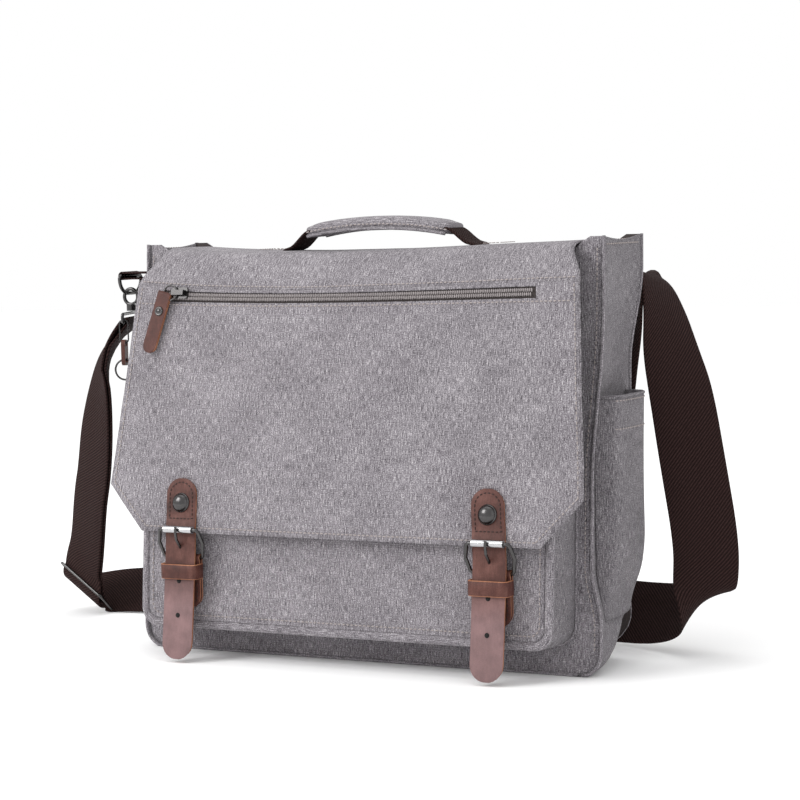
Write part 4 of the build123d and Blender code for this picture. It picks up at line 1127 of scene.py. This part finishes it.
# the webbing runs through the grip, down to the flap's top and in under its canvas
lead = []
for x in spread(-112, 112, 84):
    a = abs(x)
    rest = 322.9 - sag(x) * 0.97
    if a > 81:
        z = rest - 4.2 * ramp(a, 81, 88)
    elif a > 60:
        z = rest + (grip_z(60) - rest) * ramp(a, 81, 60)
    else:
        z = grip_z(x)
    lead.append((x, HANDLE_Y, z))
sweep("handle_web", lead, web_profile(27, 2.2), [WEBBING], "flap_top", ["handle_webbing"],
      ups=(0, 0, 1))
boxes = []
for s in (-1, 1):
    near, far = ((s * a, 322.4 - sag(s * a) * 0.97) for a in (91, 107))
    box = [(near, -11), (far, -11), (far, 11), (near, 11), (near, -11)]
    boxes.append([(x, HANDLE_Y + y, z) for (x, z), y in box])
stitches("handle_stitch", boxes, "flap_top", out=(0, 0, 1))

# ---- left tab ------------------------------------------------------------------------------------
tab = [(x, 30, 296.6) for x in (-196, -206, -216, -226, -236)]
tab += [(-237 - 3.0 * sin(pi * k / 8), 30, 298.9 - 3.0 * cos(pi * k / 8)) for k in range(1, 8)]
tab += [(x, 30, 301.2) for x in (-236, -226, -216, -206, -196)]
tab_ups = []
for k, p in enumerate(tab):
    ahead = (Vector(tab[min(k + 1, len(tab) - 1)]) - Vector(tab[max(k - 1, 0)])).normalized()
    tab_ups.append(Vector((0, 1, 0)).cross(ahead).normalized())
sweep("ring_tab_web", tab, web_profile(25, 1.4), [WEBBING], "bag", ["ring_tab"], ups=tab_ups)

# ---- finishes of the CAD pieces that stay --------------------------------------------------------
METAL_NODES = ["snap_sockets", "zip_slider", "zip_pull_ring", "d_ring", "snap_hook", "snap_gate", "strap_eye",
               "fob_link", "split_ring", "strap_adjuster"]
METAL_NODES += [f"{node}_{side}" for node in ("buckle_frame", "prong", "snap_stud") for side, _ in SIDES]


def refinish(node, material):
    """Give a CAD piece that stays in the scene its finish."""
    obj = bpy.data.objects[node]
    if not obj.material_slots:
        obj.data.materials.append(material)
    for place in obj.material_slots:
        place.material = material


for node in METAL_NODES:
    refinish(node, METAL)
for node in ("roller_left", "roller_right"):
    refinish(node, BRIGHT)
refinish("fob_tag", LEATHER)

# ---- floor and light -----------------------------------------------------------------------------
bm = bmesh.new()
bmesh.ops.create_grid(bm, x_segments=1, y_segments=1, size=6)
floor = finish_mesh("floor", bm, [Nodes("floor", rough=0.95, color=(1.0, 1.0, 1.0)).m], None)

world = bpy.data.worlds.new("world")
bpy.context.scene.world = world
world.use_nodes = True
world.node_tree.nodes["Background"].inputs["Color"].default_value = (1, 1, 1, 1)
world.node_tree.nodes["Background"].inputs["Strength"].default_value = 1.0
bpy.context.scene.view_settings.view_transform = "Standard"


def area(name, spot, aim, size, power):
    """A square softbox at a spot, turned towards its aim."""
    data = bpy.data.lights.new(name, "AREA")
    data.size, data.energy = size, power
    obj = bpy.data.objects.new(name, data)
    obj.location = spot
    obj.rotation_euler = (Vector(aim) - Vector(spot)).to_track_quat("-Z", "Y").to_euler()
    bpy.context.scene.collection.objects.link(obj)


area("key", (-1.5, -1.7, 1.5), (-0.1, 0, 0.15), 1.1, 34)
area("top", (-0.2, 0.1, 2.2), (0, 0, 0.2), 1.8, 10)
area("fill", (1.9, -0.9, 0.9), (0, 0, 0.15), 1.4, 2)
